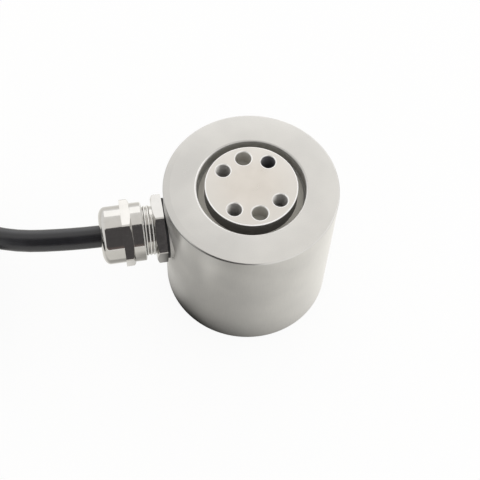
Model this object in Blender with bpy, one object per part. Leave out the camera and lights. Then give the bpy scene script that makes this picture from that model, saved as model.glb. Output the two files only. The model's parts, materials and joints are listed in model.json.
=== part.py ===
"""A small multi-axis load cell in a turned steel housing, with its cable gland and coiled cable.

Metres, +Z up. The origin is the centre of the mounting face under the base. The gland points along -X,
and the load platform is the raised disc inside the ring on top.
"""

import math

import bmesh
import bpy
from mathutils import Matrix, Vector

MM = 0.001

# Clearance that separate pieces keep from each other
FIT = 0.3 * MM

# How far a cutter runs past the face it cuts, and a joined body into its neighbour
OVERRUN = 1.0 * MM
OVERLAP = 0.2 * MM

# Screws: shank, head, and their hexagon sockets
HOUSING_SCREW = 2.5 * MM
HOUSING_SCREW_COUNT = 8
HOUSING_SCREW_HEAD = 4.5 * MM
HOUSING_SCREW_HEAD_HEIGHT = 2.3 * MM
HOUSING_SCREW_REACH = 6.0 * MM
HOUSING_SCREW_SOCKET = 2.0 * MM
HOUSING_SCREW_SOCKET_DEPTH = 1.2 * MM
COVER_SCREW = 2.0 * MM
COVER_SCREW_HEAD = 3.6 * MM
COVER_SCREW_LENGTH = 4.6 * MM
COVER_SCREW_SOCKET = 1.2 * MM
COVER_SCREW_SOCKET_DEPTH = 0.6 * MM
BOARD_SCREW = 1.4 * MM
BOARD_SCREW_HEAD = 2.4 * MM
BOARD_SCREW_HEAD_HEIGHT = 1.1 * MM
BOARD_SCREW_LENGTH = 4.2 * MM
BOARD_SCREW_SOCKET = 0.9 * MM
BOARD_SCREW_SOCKET_DEPTH = 0.5 * MM
SCREW_BEVEL = 0.25 * MM
TAP_MOUTH = 0.2 * MM

# Diameters, built up from the load platform outwards to the body
PLATFORM_DIAMETER = 26.4 * MM
RING_GAP = 2.3 * MM
RING_BORE = PLATFORM_DIAMETER + 2 * RING_GAP
CAVITY_UNDERCUT = 2.1 * MM
CAVITY_DIAMETER = RING_BORE + 2 * CAVITY_UNDERCUT
SCREW_INNER_WALL = 0.75 * MM
HOUSING_SCREW_CIRCLE = CAVITY_DIAMETER + HOUSING_SCREW + 2 * (FIT + SCREW_INNER_WALL)
SCREW_OUTER_WALL = 0.45 * MM
FLANGE_DIAMETER = HOUSING_SCREW_CIRCLE + HOUSING_SCREW_HEAD + 2 * (FIT + SCREW_OUTER_WALL)
FLANGE_POCKET_DIAMETER = FLANGE_DIAMETER + 2 * FIT
POCKET_WALL = 1.8 * MM
BODY_DIAMETER = FLANGE_POCKET_DIAMETER + 2 * POCKET_WALL
BODY_EDGE = 0.35 * MM
RING_BORE_EDGE = 0.35 * MM

# Sensing element across: base flange, cup, cross of beams, post and platform in one piece
ELEMENT_TURN = math.radians(4.5)
PLATFORM_EDGE = 0.35 * MM
POST_OVERHANG = 7.2 * MM
POST_DIAMETER = PLATFORM_DIAMETER - 2 * POST_OVERHANG
POST_FLARE = 3.6 * MM
CUP_GAP = 0.6 * MM
CUP_DIAMETER = CAVITY_DIAMETER - 2 * CUP_GAP
CUP_WALL = 4.0 * MM
CUP_POCKET = CUP_DIAMETER - 2 * CUP_WALL
CUP_POCKET_CORNER = 10.0 * MM
BEAM_SIZE = 5.0 * MM
LEAF_THICKNESS = 1.2 * MM
LEAF_WIDTH = 13.0 * MM
LEAF_SLOT = 1.2 * MM
WINDOW_WIDTH = 8.0 * MM

# Load side holes: four threads on a square and two dowel holes across
LOAD_HOLE_INSET = 3.85 * MM
LOAD_CIRCLE = PLATFORM_DIAMETER - 2 * LOAD_HOLE_INSET
LOAD_THREAD_DRILL = 4.2 * MM
LOAD_THREAD_MOUTH = 4.7 * MM
LOAD_THREAD_DEPTH = 6.4 * MM
LOAD_DOWEL = 4.6 * MM
LOAD_DOWEL_MOUTH = 5.0 * MM
LOAD_DOWEL_DEPTH = 5.0 * MM
DRILL_POINT = math.radians(118)

# Bottom cover in its pocket, on a flat gasket, inside the circle of housing screws
COVER_SEAT_WALL = 1.45 * MM
COVER_SEAT = HOUSING_SCREW_CIRCLE - HOUSING_SCREW_HEAD - 2 * (FIT + COVER_SEAT_WALL)
COVER_DIAMETER = COVER_SEAT - 2 * FIT
COVER_THICKNESS = 1.5 * MM
COVER_EDGE = 0.2 * MM
COVER_SCREW_INSET = 2.4 * MM
COVER_SCREW_CIRCLE = COVER_DIAMETER - 2 * COVER_SCREW_INSET
GASKET_THICKNESS = 0.4 * MM
GASKET_WIDTH = 3.9 * MM
COVER_LEDGE = 4.1 * MM
BASE_OPENING = COVER_DIAMETER - 2 * COVER_LEDGE
COVER_POCKET_DEPTH = FIT + COVER_THICKNESS + FIT + GASKET_THICKNESS + FIT

# Machine side holes, under the base
BASE_HOLE_INSET = 3.9 * MM
BASE_CIRCLE = FLANGE_DIAMETER - 2 * BASE_HOLE_INSET
BASE_HOLE_ROOF = 2.1 * MM

# Heights, stacked up from the mounting face
FLANGE_THICKNESS = 6.7 * MM
FLANGE_POCKET_DEPTH = FLANGE_THICKNESS + FIT
CUP_WEB = 3.4 * MM
CUP_FLOOR = COVER_POCKET_DEPTH + CUP_WEB
CUP_HEIGHT = 15.0 * MM
CUP_TOP = FLANGE_POCKET_DEPTH + CUP_HEIGHT
POST_TAIL = 2.0 * MM
LEAF_DEPTH = 9.0 * MM
WINDOW_SILL = 1.5 * MM
WINDOW_BOTTOM = FLANGE_POCKET_DEPTH + WINDOW_SILL
WINDOW_LINTEL = 5.5 * MM
WINDOW_TOP = CUP_TOP - WINDOW_LINTEL
BOARD_THICKNESS = 1.2 * MM
PILLAR_HEIGHT = 2.4 * MM
BOARD_HEIGHT = CUP_TOP + FIT + PILLAR_HEIGHT + FIT
PORT_OVER_BOARD = 4.5 * MM
PORT_HEIGHT = BOARD_HEIGHT + BOARD_THICKNESS + PORT_OVER_BOARD
PORT_BELOW_TOP = 16.3 * MM
BODY_HEIGHT = PORT_HEIGHT + PORT_BELOW_TOP
LIP_HEIGHT = 6.0 * MM
LIP_LAND = 2.0 * MM
LIP_RELIEF = 0.25 * MM
PLATFORM_RISE = 0.9 * MM
PLATFORM_THICKNESS = 8.5 * MM
PLATFORM_SHOULDER_DEPTH = 5.0 * MM
PLATFORM_SHOULDER_GAP = 0.4 * MM

# Strain gauges on the four sides of each beam, half way between post and cup
GAUGE_LENGTH = 3.6 * MM
GAUGE_SEAT = (CUP_POCKET + POST_DIAMETER) / 4
GAUGE_WIDTH = 2.6 * MM
GAUGE_THICKNESS = 0.15 * MM

# Terminal board on four pillars over the cup
BOARD_CLEARANCE = 1.2 * MM
BOARD_DIAMETER = CAVITY_DIAMETER - 2 * BOARD_CLEARANCE
BOARD_SLOT_CLEARANCE = 1.0 * MM
BOARD_SLOT = POST_DIAMETER + 2 * BOARD_SLOT_CLEARANCE
PILLAR_INSET = 1.5 * MM
PILLAR_CIRCLE = CUP_DIAMETER - 2 * PILLAR_INSET
PILLAR_DIAMETER = 2.8 * MM
PAD_INSET = 4.9 * MM
PAD_CIRCLE = BOARD_DIAMETER - 2 * PAD_INSET
PAD_SIZE = 1.6 * MM
PAD_HEIGHT = 0.25 * MM
PAD_ANGLES = (50, 30, 10, -10, -30, -50)

# Cable gland, at the port on -X. Its stations are distances from the body's axis.
CABLE_DIAMETER = 6.5 * MM
WASHER_DIAMETER = 18.0 * MM
WASHER_THICKNESS = 0.8 * MM
PORT_FACE_DEPTH = 1.1 * MM
PORT_FACE = BODY_DIAMETER / 2 - PORT_FACE_DEPTH
PORT_FACE_CLEARANCE = 0.5 * MM
PORT_FACE_DIAMETER = WASHER_DIAMETER + 2 * PORT_FACE_CLEARANCE
GLAND_THREAD = 16.0 * MM
GLAND_INNER_CLEARANCE = 0.2 * MM
GLAND_THREAD_END = CAVITY_DIAMETER / 2 + GLAND_INNER_CLEARANCE
GLAND_BORE_PLAY = 0.75 * MM
GLAND_BORE = CABLE_DIAMETER + 2 * GLAND_BORE_PLAY
GLAND_HEX_ACROSS = 18.0 * MM
GLAND_HEX_THICKNESS = 3.05 * MM
GLAND_HEX_TURN = math.radians(46)
HEX_START = PORT_FACE + FIT + WASHER_THICKNESS + FIT
NUT_THREAD = 15.2 * MM
NUT_THREAD_LENGTH = 6.4 * MM
NUT_STANDOFF = 2.95 * MM
NUT_REAR = HEX_START + GLAND_HEX_THICKNESS + NUT_STANDOFF
NUT_BORE = NUT_THREAD + 2 * FIT
NUT_SKIRT_WALL = 0.7 * MM
NUT_SKIRT_DIAMETER = NUT_BORE + 2 * NUT_SKIRT_WALL
NUT_SKIRT_LENGTH = 3.0 * MM
NUT_HEX_THICKNESS = 2.8 * MM
NUT_HEX_TURN = math.radians(40.3)
DOME_WALL = 0.5 * MM
DOME_DIAMETER = NUT_BORE + 2 * DOME_WALL
DOME_LENGTH = 4.5 * MM
DOME_ROUND_LENGTH = 2.6 * MM
DOME_ROUND_HEIGHT = 3.0 * MM
NUT_CONE_START = 1.4 * MM
NUT_CONE_LENGTH = 4.1 * MM
NUT_CONE_DROP = 2.3 * MM
SEAL_WALL = 1.35 * MM
SEAL_LENGTH = 10.4 * MM
CAGE_BASE_LENGTH = 3.3 * MM
CAGE_FINGER_LENGTH = 3.8 * MM
CAGE_RING_LENGTH = 1.0 * MM
CAGE_SLOT = 0.9 * MM
CAGE_SLOTS = 8
CAGE_PLAY = 0.1 * MM
HEX_CHAMFER = 0.35 * MM
THREAD_LEAD = 0.6 * MM
SKIRT_EDGE = 0.25 * MM

# Cable: sheath, its six cores inside the housing, and the spare length in a tied hank
CABLE_STRIP = 1.5 * MM
CABLE_INNER_END = GLAND_THREAD_END - CABLE_STRIP
CABLE_ROUTE = (
    (-30.0, 0.0, 30.7),
    (-44.2, 0.0, 30.7),
    (-51.0, 0.2, 30.6),
    (-58.0, 1.2, 30.2),
    (-66.0, 3.5, 29.5),
    (-73.0, 6.3, 28.6),
    (-78.0, 8.7, 27.8),
    (-82.6, 11.1, 27.1),
)
CABLE_SIDES = 3
CORE_DIAMETER = 0.9 * MM
CORE_RING = 3.8 * MM
CORE_STRAIGHT = 1.2 * MM
CORE_SPREAD = 0.3
CORE_DROP = 2.4 * MM
CORE_ARCH = (0.5 * MM, 0.0, 0.7 * MM)
HANK_NEAR_END = -83.0 * MM
HANK_STRAIGHT = 68.0 * MM
HANK_FOLD_RADIUS = 20.0 * MM
HANK_COLUMNS = 2
HANK_LAYERS = 4
TIE_THICKNESS = 0.7 * MM
TIE_WIDTH = 9.0 * MM
TAIL_ROUTE = (
    (-153.0, -12.6, 3.3),
    (-146.0, -11.0, 3.3),
    (-139.0, -9.6, 3.3),
    (-132.0, -8.6, 3.3),
    (-125.0, -8.2, 3.3),
)
LEADS_ROUTE = (
    (-124.6, -8.2, 3.3),
    (-119.0, -8.1, 2.6),
    (-113.0, -8.3, 1.6),
    (-107.0, -8.8, 1.6),
)
LEADS_DIAMETER = 2.6 * MM

# Facets round a full circle
FINE = 60
MEDIUM = 30
COARSE = 18
SMALL = 12
NOSE_STEPS = 6

STEEL = ("stainless_steel", (0.60, 0.59, 0.57), 0.32, 1.0)
ELEMENT_STEEL = ("element_steel", (0.64, 0.61, 0.58), 0.28, 1.0)
NICKEL = ("nickel_plate", (0.72, 0.71, 0.69), 0.16, 1.0)
SCREW_STEEL = ("screw_steel", (0.42, 0.42, 0.42), 0.30, 1.0)
BLACK_RUBBER = ("black_rubber", (0.015, 0.015, 0.017), 0.75, 0.0)
GREY_RUBBER = ("grey_rubber", (0.20, 0.20, 0.20), 0.70, 0.0)
POLYAMIDE = ("polyamide", (0.06, 0.06, 0.065), 0.50, 0.0)
SHEATH = ("cable_sheath", (0.022, 0.022, 0.026), 0.45, 0.0)
BOARD_GREEN = ("board_laminate", (0.03, 0.16, 0.07), 0.45, 0.0)
FOIL = ("gauge_foil", (0.62, 0.45, 0.16), 0.40, 0.0)
TINNED = ("tinned_copper", (0.55, 0.54, 0.52), 0.35, 1.0)
CORE_COLOURS = (
    ("core_red", (0.45, 0.02, 0.02), 0.45, 0.0),
    ("core_black", (0.02, 0.02, 0.02), 0.45, 0.0),
    ("core_green", (0.03, 0.25, 0.06), 0.45, 0.0),
    ("core_white", (0.75, 0.75, 0.72), 0.45, 0.0),
    ("core_yellow", (0.65, 0.50, 0.04), 0.45, 0.0),
    ("core_blue", (0.03, 0.09, 0.42), 0.45, 0.0),
)


def clear_scene():
    for obj in list(bpy.data.objects):
        bpy.data.objects.remove(obj, do_unlink=True)


def material(spec):
    name, colour, roughness, metallic = spec
    found = bpy.data.materials.get(name)
    if found:
        return found
    made = bpy.data.materials.new(name)
    made.use_nodes = True
    shader = made.node_tree.nodes["Principled BSDF"]
    shader.inputs["Base Color"].default_value = (*colour, 1.0)
    shader.inputs["Roughness"].default_value = roughness
    shader.inputs["Metallic"].default_value = metallic
    made.diffuse_color = (*colour, 1.0)
    return made


def add_empty(name, location=(0, 0, 0), rotation=(0, 0, 0)):
    empty = bpy.data.objects.new(name, None)
    empty.location = location
    empty.rotation_euler = rotation
    bpy.context.collection.objects.link(empty)
    return empty


def place(obj, parent=None, location=(0, 0, 0), rotation=(0, 0, 0)):
    obj.parent = parent
    obj.location = location
    obj.rotation_euler = rotation
    bpy.context.collection.objects.link(obj)
    return obj


def finished_mesh(name, bm, spec=None):
    bmesh.ops.remove_doubles(bm, verts=bm.verts, dist=1e-7)
    bmesh.ops.recalc_face_normals(bm, faces=bm.faces)
    mesh = bpy.data.meshes.new(name)
    bm.to_mesh(mesh)
    bm.free()
    if spec:
        mesh.materials.append(material(spec))
    mesh.shade_smooth()
    mesh.set_sharp_from_angle(angle=math.radians(30))
    return mesh


def add_piece(name, bm, spec, parent=None, location=(0, 0, 0), rotation=(0, 0, 0)):
    return place(bpy.data.objects.new(name, finished_mesh(name, bm, spec)), parent, location, rotation)


def add_cutter(name, bm, parent=None, location=(0, 0, 0), rotation=(0, 0, 0)):
    cutter = place(bpy.data.objects.new(name, finished_mesh(name, bm)), parent, location, rotation)
    cutter.hide_render = True
    cutter.display_type = "WIRE"
    return cutter


def combine(obj, other, operation):
    modifier = obj.modifiers.new(other.name, "BOOLEAN")
    modifier.operation = operation
    modifier.solver = "EXACT"
    modifier.object = other


def turned(profile, steps, bm=None, closed=True):
    """A shape turned about Z from an outline of (radius, height) points."""
    bm = bm or bmesh.new()
    points = [bm.verts.new((radius, 0, height)) for radius, height in profile]
    pairs = list(zip(points, points[1:]))
    if closed:
        pairs.append((points[-1], points[0]))
    edges = [bm.edges.new(pair) for pair in pairs]
    bmesh.ops.spin(
        bm, geom=points + edges, axis=(0, 0, 1), angle=math.tau, steps=steps, use_merge=True
    )
    bmesh.ops.remove_doubles(bm, verts=bm.verts, dist=1e-7)
    on_axis = [edge for edge in bm.edges if not edge.link_faces]
    bmesh.ops.delete(bm, geom=on_axis, context="EDGES")
    return bm


def extruded(outline, bottom, top, bm=None):
    """A prism with this (x, y) outline between two heights."""
    bm = bm or bmesh.new()
    face = bm.faces.new([bm.verts.new((x, y, bottom)) for x, y in outline])
    moved = bmesh.ops.extrude_face_region(bm, geom=[face])["geom"]
    lifted = [item for item in moved if isinstance(item, bmesh.types.BMVert)]
    bmesh.ops.translate(bm, verts=lifted, vec=(0, 0, top - bottom))
    return bm


def box(low, high, bm=None):
    outline = ((low[0], low[1]), (high[0], low[1]), (high[0], high[1]), (low[0], high[1]))
    return extruded(outline, low[2], high[2], bm)


def around(count, start=0.0):
    return [start + math.tau * index / count for index in range(count)]


def on_circle(radius, angle):
    return radius * math.cos(angle), radius * math.sin(angle)


def through_hole(radius, thickness):
    """Outline of a hole right through a plate that lies on height 0."""
    return ((0, -OVERRUN), (radius, -OVERRUN), (radius, thickness + OVERRUN), (0, thickness + OVERRUN))


def arc(centre, radius, start, end, steps):
    angles = [start + (end - start) * step / steps for step in range(steps + 1)]
    return [(centre[0] + radius * math.cos(a), centre[1] + radius * math.sin(a)) for a in angles]


def hexagon(across, turn=0.0):
    radius = across / math.sqrt(3)
    return [on_circle(radius, angle) for angle in around(6, turn)]


def rounded_square(side, corner, steps=6):
    inner = side / 2 - corner
    outline = []
    for index, (x, y) in enumerate(((1, 1), (-1, 1), (-1, -1), (1, -1))):
        start = index * math.pi / 2
        outline += arc((x * inner, y * inner), corner, start, start + math.pi / 2, steps)
    return outline


def drill_profile(drill, depth, mouth, pointed):
    """Outline of a blind hole that opens upwards at height 0, with a chamfered mouth."""
    chamfer = (mouth - drill) / 2
    floor = [(0, -depth), (drill / 2, -depth)]
    if pointed:
        floor[0] = (0, -depth - drill / 2 / math.tan(DRILL_POINT / 2))
    rim = [(drill / 2, -chamfer), (mouth / 2, 0), (mouth / 2, OVERRUN), (0, OVERRUN)]
    return floor + rim


def add_holes(bm, profile, places, steps=SMALL, downwards=False):
    """Adds one turned hole shape at each (x, y, z)."""
    for x, y, z in places:
        before = set(bm.verts)
        turned([(r, -h if downwards else h) for r, h in profile], steps, bm)
        bmesh.ops.translate(bm, verts=[v for v in bm.verts if v not in before], vec=(x, y, z))


def socket_screw(outline, across, depth, steps=SMALL):
    """A screw turned from an outline that runs from its tip on the axis to the head's top edge."""
    bm = turned(outline, steps, closed=False)
    radius, top = outline[-1]
    rim = [
        vert for vert in bm.verts
        if abs(vert.co.z - top) < 1e-7 and abs(vert.co.xy.length - radius) < 1e-7
    ]
    rim.sort(key=lambda vert: math.atan2(vert.co.y, vert.co.x) % math.tau)
    mouth = [bm.verts.new((x, y, top)) for x, y in hexagon(across)]
    floor = [bm.verts.new((x, y, top - depth)) for x, y in hexagon(across)]
    side = steps // 6
    for index in range(6):
        after = (index + 1) % 6
        edge = [rim[(index * side + step) % steps] for step in range(side + 1)]
        bm.faces.new([mouth[after], mouth[index]] + edge)
        bm.faces.new([mouth[index], mouth[after], floor[after], floor[index]])
    bm.faces.new(floor)
    return bm


def smooth_route(points, spacing):
    """Points about one spacing apart on a smooth curve through the route's own points."""
    knots = [Vector(point) * MM for point in points]
    ends = [2 * knots[0] - knots[1]] + knots + [2 * knots[-1] - knots[-2]]
    route = []
    for before, start, end, after in zip(ends, ends[1:], ends[2:], ends[3:]):
        steps = max(1, round((end - start).length / spacing))
        for step in range(steps):
            t = step / steps
            bend = (2 * before - 5 * start + 4 * end - after) * t * t
            twist = (3 * start - before - 3 * end + after) * t * t * t
            route.append(0.5 * (2 * start + (end - before) * t + bend + twist))
    return route + [knots[-1]]


def add_tube(name, points, diameter, spec, sides=CABLE_SIDES, parent=None):
    curve = bpy.data.curves.new(name, "CURVE")
    curve.dimensions = "3D"
    curve.bevel_depth = diameter / 2
    curve.bevel_resolution = sides
    curve.use_fill_caps = True
    spline = curve.splines.new("POLY")
    spline.points.add(len(points) - 1)
    for point, place_on_route in zip(spline.points, points):
        point.co = (*place_on_route, 1.0)
    curve.materials.append(material(spec))
    return place(bpy.data.objects.new(name, curve), parent)


def add_housing(gland_axis, element_axis):
    outer = BODY_DIAMETER / 2
    bore = RING_BORE / 2
    pocket = FLANGE_POCKET_DIAMETER / 2
    land = BODY_HEIGHT - LIP_LAND
    profile = (
        (pocket, FIT),
        (outer - BODY_EDGE, FIT),
        (outer, FIT + BODY_EDGE),
        (outer, BODY_HEIGHT - BODY_EDGE),
        (outer - BODY_EDGE, BODY_HEIGHT),
        (bore + RING_BORE_EDGE, BODY_HEIGHT),
        (bore, BODY_HEIGHT - RING_BORE_EDGE),
        (bore, land),
        (bore + LIP_RELIEF, land - LIP_RELIEF),
        (bore + LIP_RELIEF, BODY_HEIGHT - LIP_HEIGHT),
        (CAVITY_DIAMETER / 2, BODY_HEIGHT - LIP_HEIGHT),
        (CAVITY_DIAMETER / 2, FLANGE_POCKET_DEPTH),
        (pocket, FLANGE_POCKET_DEPTH),
    )
    housing = add_piece("housing", turned(profile, FINE), STEEL)

    port = turned(
        (
            (0, BODY_DIAMETER / 4),
            (GLAND_THREAD / 2 + FIT, BODY_DIAMETER / 4),
            (GLAND_THREAD / 2 + FIT, PORT_FACE),
            (PORT_FACE_DIAMETER / 2, PORT_FACE),
            (PORT_FACE_DIAMETER / 2, BODY_DIAMETER),
            (0, BODY_DIAMETER),
        ),
        MEDIUM,
    )
    combine(housing, add_cutter("port_cutter", port, gland_axis), "DIFFERENCE")

    tapped = bmesh.new()
    drill = HOUSING_SCREW + 2 * FIT
    hole = drill_profile(drill, HOUSING_SCREW_REACH + FIT, drill + TAP_MOUTH, False)
    add_holes(tapped, hole, screw_places(FLANGE_POCKET_DEPTH), downwards=True)
    combine(housing, add_cutter("housing_tap_cutter", tapped, element_axis), "DIFFERENCE")
    return housing


def screw_places(height):
    start = math.pi / HOUSING_SCREW_COUNT
    radius = HOUSING_SCREW_CIRCLE / 2
    return [(*on_circle(radius, angle), height) for angle in around(HOUSING_SCREW_COUNT, start)]


def square_places(circle, height):
    return [(*on_circle(circle / 2, angle), height) for angle in around(4, math.pi / 4)]


def dowel_places(circle, height):
    return [(0, side * circle / 2, height) for side in (1, -1)]


def add_sensing_element(element_axis):
    """Flange, cup with leaf springs, cross of beams, post and platform, machined as one piece."""
    rim = FLANGE_DIAMETER / 2
    cup = CUP_DIAMETER / 2
    cover_seat = COVER_SEAT / 2
    profile = (
        (cover_seat, 0),
        (rim - BODY_EDGE, 0),
        (rim, BODY_EDGE),
        (rim, FLANGE_THICKNESS),
        (cup, FLANGE_THICKNESS),
        (cup, CUP_TOP),
        (0, CUP_TOP),
        (0, COVER_POCKET_DEPTH),
        (cover_seat, COVER_POCKET_DEPTH),
    )
    element = add_piece("sensing_element", turned(profile, FINE), ELEMENT_STEEL, element_axis)

    outline = rounded_square(CUP_POCKET, CUP_POCKET_CORNER)
    pocket = extruded(outline, CUP_FLOOR, CUP_TOP + OVERRUN)
    combine(element, add_cutter("cup_pocket_cutter", pocket, element_axis), "DIFFERENCE")
    opening = turned(
        (
            (0, 0),
            (BASE_OPENING / 2, 0),
            (BASE_OPENING / 2, CUP_FLOOR + OVERRUN),
            (0, CUP_FLOOR + OVERRUN),
        ),
        MEDIUM,
    )
    combine(element, add_cutter("base_opening_cutter", opening, element_axis), "DIFFERENCE")

    reach = CUP_POCKET / 2 + LEAF_THICKNESS / 2
    half = BEAM_SIZE / 2
    cross = [
        (reach, -half), (reach, half), (half, half), (half, reach), (-half, reach), (-half, half),
        (-reach, half), (-reach, -half), (-half, -half), (-half, -reach), (half, -reach), (half, -half),
    ]
    beams = extruded(cross, CUP_TOP - BEAM_SIZE - FIT, CUP_TOP - FIT)
    combine(element, add_cutter("cross_of_beams", beams, element_axis), "UNION")

    top = BODY_HEIGHT + PLATFORM_RISE
    under = top - PLATFORM_THICKNESS
    plate = PLATFORM_DIAMETER / 2
    shoulder = RING_BORE / 2 - PLATFORM_SHOULDER_GAP
    ledge = top - PLATFORM_SHOULDER_DEPTH
    post = POST_DIAMETER / 2
    tail = CUP_TOP - BEAM_SIZE - POST_TAIL
    column = (
        (0, tail),
        (post - PLATFORM_EDGE, tail),
        (post, tail + PLATFORM_EDGE),
        (post, under - POST_FLARE),
        (post + POST_FLARE, under),
        (shoulder, under),
        (shoulder, ledge),
        (plate, ledge),
        (plate, top - PLATFORM_EDGE),
        (plate - PLATFORM_EDGE, top),
        (0, top),
    )
    combine(element, add_cutter("post_and_platform", turned(column, FINE), element_axis), "UNION")

    combine(element, add_cutter("spring_cutter", spring_cuts(), element_axis), "DIFFERENCE")
    combine(element, add_cutter("load_hole_cutter", load_holes(top), element_axis), "DIFFERENCE")
    combine(element, add_cutter("base_hole_cutter", base_holes(), element_axis), "DIFFERENCE")
    return element


def spring_cuts():
    """Slots that leave a thin leaf behind each beam's end, and windows between the beams."""
    cuts = bmesh.new()
    inner = CUP_POCKET / 2 + LEAF_THICKNESS
    for angle in around(4):
        before = set(cuts.verts)
        box(
            (inner, -LEAF_WIDTH / 2, CUP_TOP - LEAF_DEPTH),
            (inner + LEAF_SLOT, LEAF_WIDTH / 2, CUP_TOP + OVERRUN),
            cuts,
        )
        turn_new(cuts, before, angle)
    for angle in around(4, math.pi / 4):
        before = set(cuts.verts)
        box(
            (POST_DIAMETER, -WINDOW_WIDTH / 2, WINDOW_BOTTOM),
            (CAVITY_DIAMETER / 2 + OVERRUN, WINDOW_WIDTH / 2, WINDOW_TOP),
            cuts,
        )
        turn_new(cuts, before, angle)
    return cuts


def turn_new(bm, before, angle):
    new = [vert for vert in bm.verts if vert not in before]
    bmesh.ops.rotate(bm, verts=new, cent=(0, 0, 0), matrix=Matrix.Rotation(angle, 3, "Z"))


def load_holes(top):
    cuts = bmesh.new()
    thread = drill_profile(LOAD_THREAD_DRILL, LOAD_THREAD_DEPTH, LOAD_THREAD_MOUTH, True)
    dowel = drill_profile(LOAD_DOWEL, LOAD_DOWEL_DEPTH, LOAD_DOWEL_MOUTH, False)
    add_holes(cuts, thread, square_places(LOAD_CIRCLE, top), COARSE)
    add_holes(cuts, dowel, dowel_places(LOAD_CIRCLE, top), COARSE)
    return cuts


def base_holes():
    """Threads and dowel holes of the mounting face, and the screw holes of housing and cover."""
    cuts = bmesh.new()
    depth = FLANGE_THICKNESS - BASE_HOLE_ROOF
    thread = drill_profile(LOAD_THREAD_DRILL, depth, LOAD_THREAD_MOUTH, True)
    dowel = drill_profile(LOAD_DOWEL, depth, LOAD_DOWEL_MOUTH, False)
    add_holes(cuts, thread, square_places(BASE_CIRCLE, 0), COARSE, downwards=True)
    add_holes(cuts, dowel, dowel_places(BASE_CIRCLE, 0), COARSE, downwards=True)
    shank = HOUSING_SCREW / 2 + FIT
    head = HOUSING_SCREW_HEAD / 2 + FIT
    shoulder = FIT + HOUSING_SCREW_HEAD_HEIGHT + FIT
    through = (
        (0, -FLANGE_POCKET_DEPTH),
        (shank, -FLANGE_POCKET_DEPTH),
        (shank, -shoulder),
        (head, -shoulder),
        (head, OVERRUN),
        (0, OVERRUN),
    )
    add_holes(cuts, through, screw_places(0), downwards=True)
    depth = COVER_POCKET_DEPTH
    drill = COVER_SCREW + 2 * FIT
    tapped = drill_profile(drill, COVER_SCREW_LENGTH + 2 * FIT - depth, drill, False)
    add_holes(cuts, tapped, square_places(COVER_SCREW_CIRCLE, depth), downwards=True)
    return cuts


def add_housing_screws(element_axis):
    head = HOUSING_SCREW_HEAD / 2
    shank = HOUSING_SCREW / 2
    under_head = HOUSING_SCREW_HEAD_HEIGHT
    length = FLANGE_POCKET_DEPTH + HOUSING_SCREW_REACH - FIT - under_head
    outline = (
        (0, -length),
        (shank - SCREW_BEVEL, -length),
        (shank, -length + SCREW_BEVEL),
        (shank, 0),
        (head, 0),
        (head, under_head - SCREW_BEVEL),
        (head - SCREW_BEVEL, under_head),
    )
    bm = socket_screw(outline, HOUSING_SCREW_SOCKET, HOUSING_SCREW_SOCKET_DEPTH)
    mesh = finished_mesh("housing_screw", bm, SCREW_STEEL)
    for index, (x, y, _) in enumerate(screw_places(0)):
        screw = bpy.data.objects.new(f"housing_screw_{index + 1}", mesh)
        place(screw, element_axis, (x, y, FIT + under_head), (math.pi, 0, 0))


def add_cover(element_axis):
    cover = COVER_DIAMETER / 2
    profile = (
        (0, FIT),
        (cover - COVER_EDGE, FIT),
        (cover, FIT + COVER_EDGE),
        (cover, FIT + COVER_THICKNESS),
        (0, FIT + COVER_THICKNESS),
    )
    piece = add_piece("bottom_cover", turned(profile, MEDIUM), STEEL, element_axis)
    sink = COVER_SCREW_HEAD / 2 + FIT
    shank = COVER_SCREW / 2 + FIT
    hole = (
        (0, -COVER_THICKNESS - OVERRUN),
        (shank, -COVER_THICKNESS - OVERRUN),
        (shank, shank - sink),
        (sink, 0),
        (sink, OVERRUN),
        (0, OVERRUN),
    )
    cuts = bmesh.new()
    add_holes(cuts, hole, square_places(COVER_SCREW_CIRCLE, FIT), downwards=True)
    combine(piece, add_cutter("cover_hole_cutter", cuts, element_axis), "DIFFERENCE")

    low = FIT + COVER_THICKNESS + FIT
    ring = (
        (cover - GASKET_WIDTH, low),
        (cover, low),
        (cover, low + GASKET_THICKNESS),
        (cover - GASKET_WIDTH, low + GASKET_THICKNESS),
    )
    gasket = add_piece("cover_gasket", turned(ring, MEDIUM), BLACK_RUBBER, element_axis)
    cuts = bmesh.new()
    hole = through_hole(shank, GASKET_THICKNESS)
    add_holes(cuts, hole, square_places(COVER_SCREW_CIRCLE, low))
    combine(gasket, add_cutter("gasket_hole_cutter", cuts, element_axis), "DIFFERENCE")

    head = COVER_SCREW_HEAD / 2
    shank = COVER_SCREW / 2
    outline = (
        (0, -COVER_SCREW_LENGTH),
        (shank, -COVER_SCREW_LENGTH),
        (shank, shank - head),
        (head, 0),
    )
    bm = socket_screw(outline, COVER_SCREW_SOCKET, COVER_SCREW_SOCKET_DEPTH)
    mesh = finished_mesh("cover_screw", bm, SCREW_STEEL)
    for index, (x, y, _) in enumerate(square_places(COVER_SCREW_CIRCLE, 0)):
        screw = bpy.data.objects.new(f"cover_screw_{index + 1}", mesh)
        place(screw, element_axis, (x, y, FIT), (math.pi, 0, 0))


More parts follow.
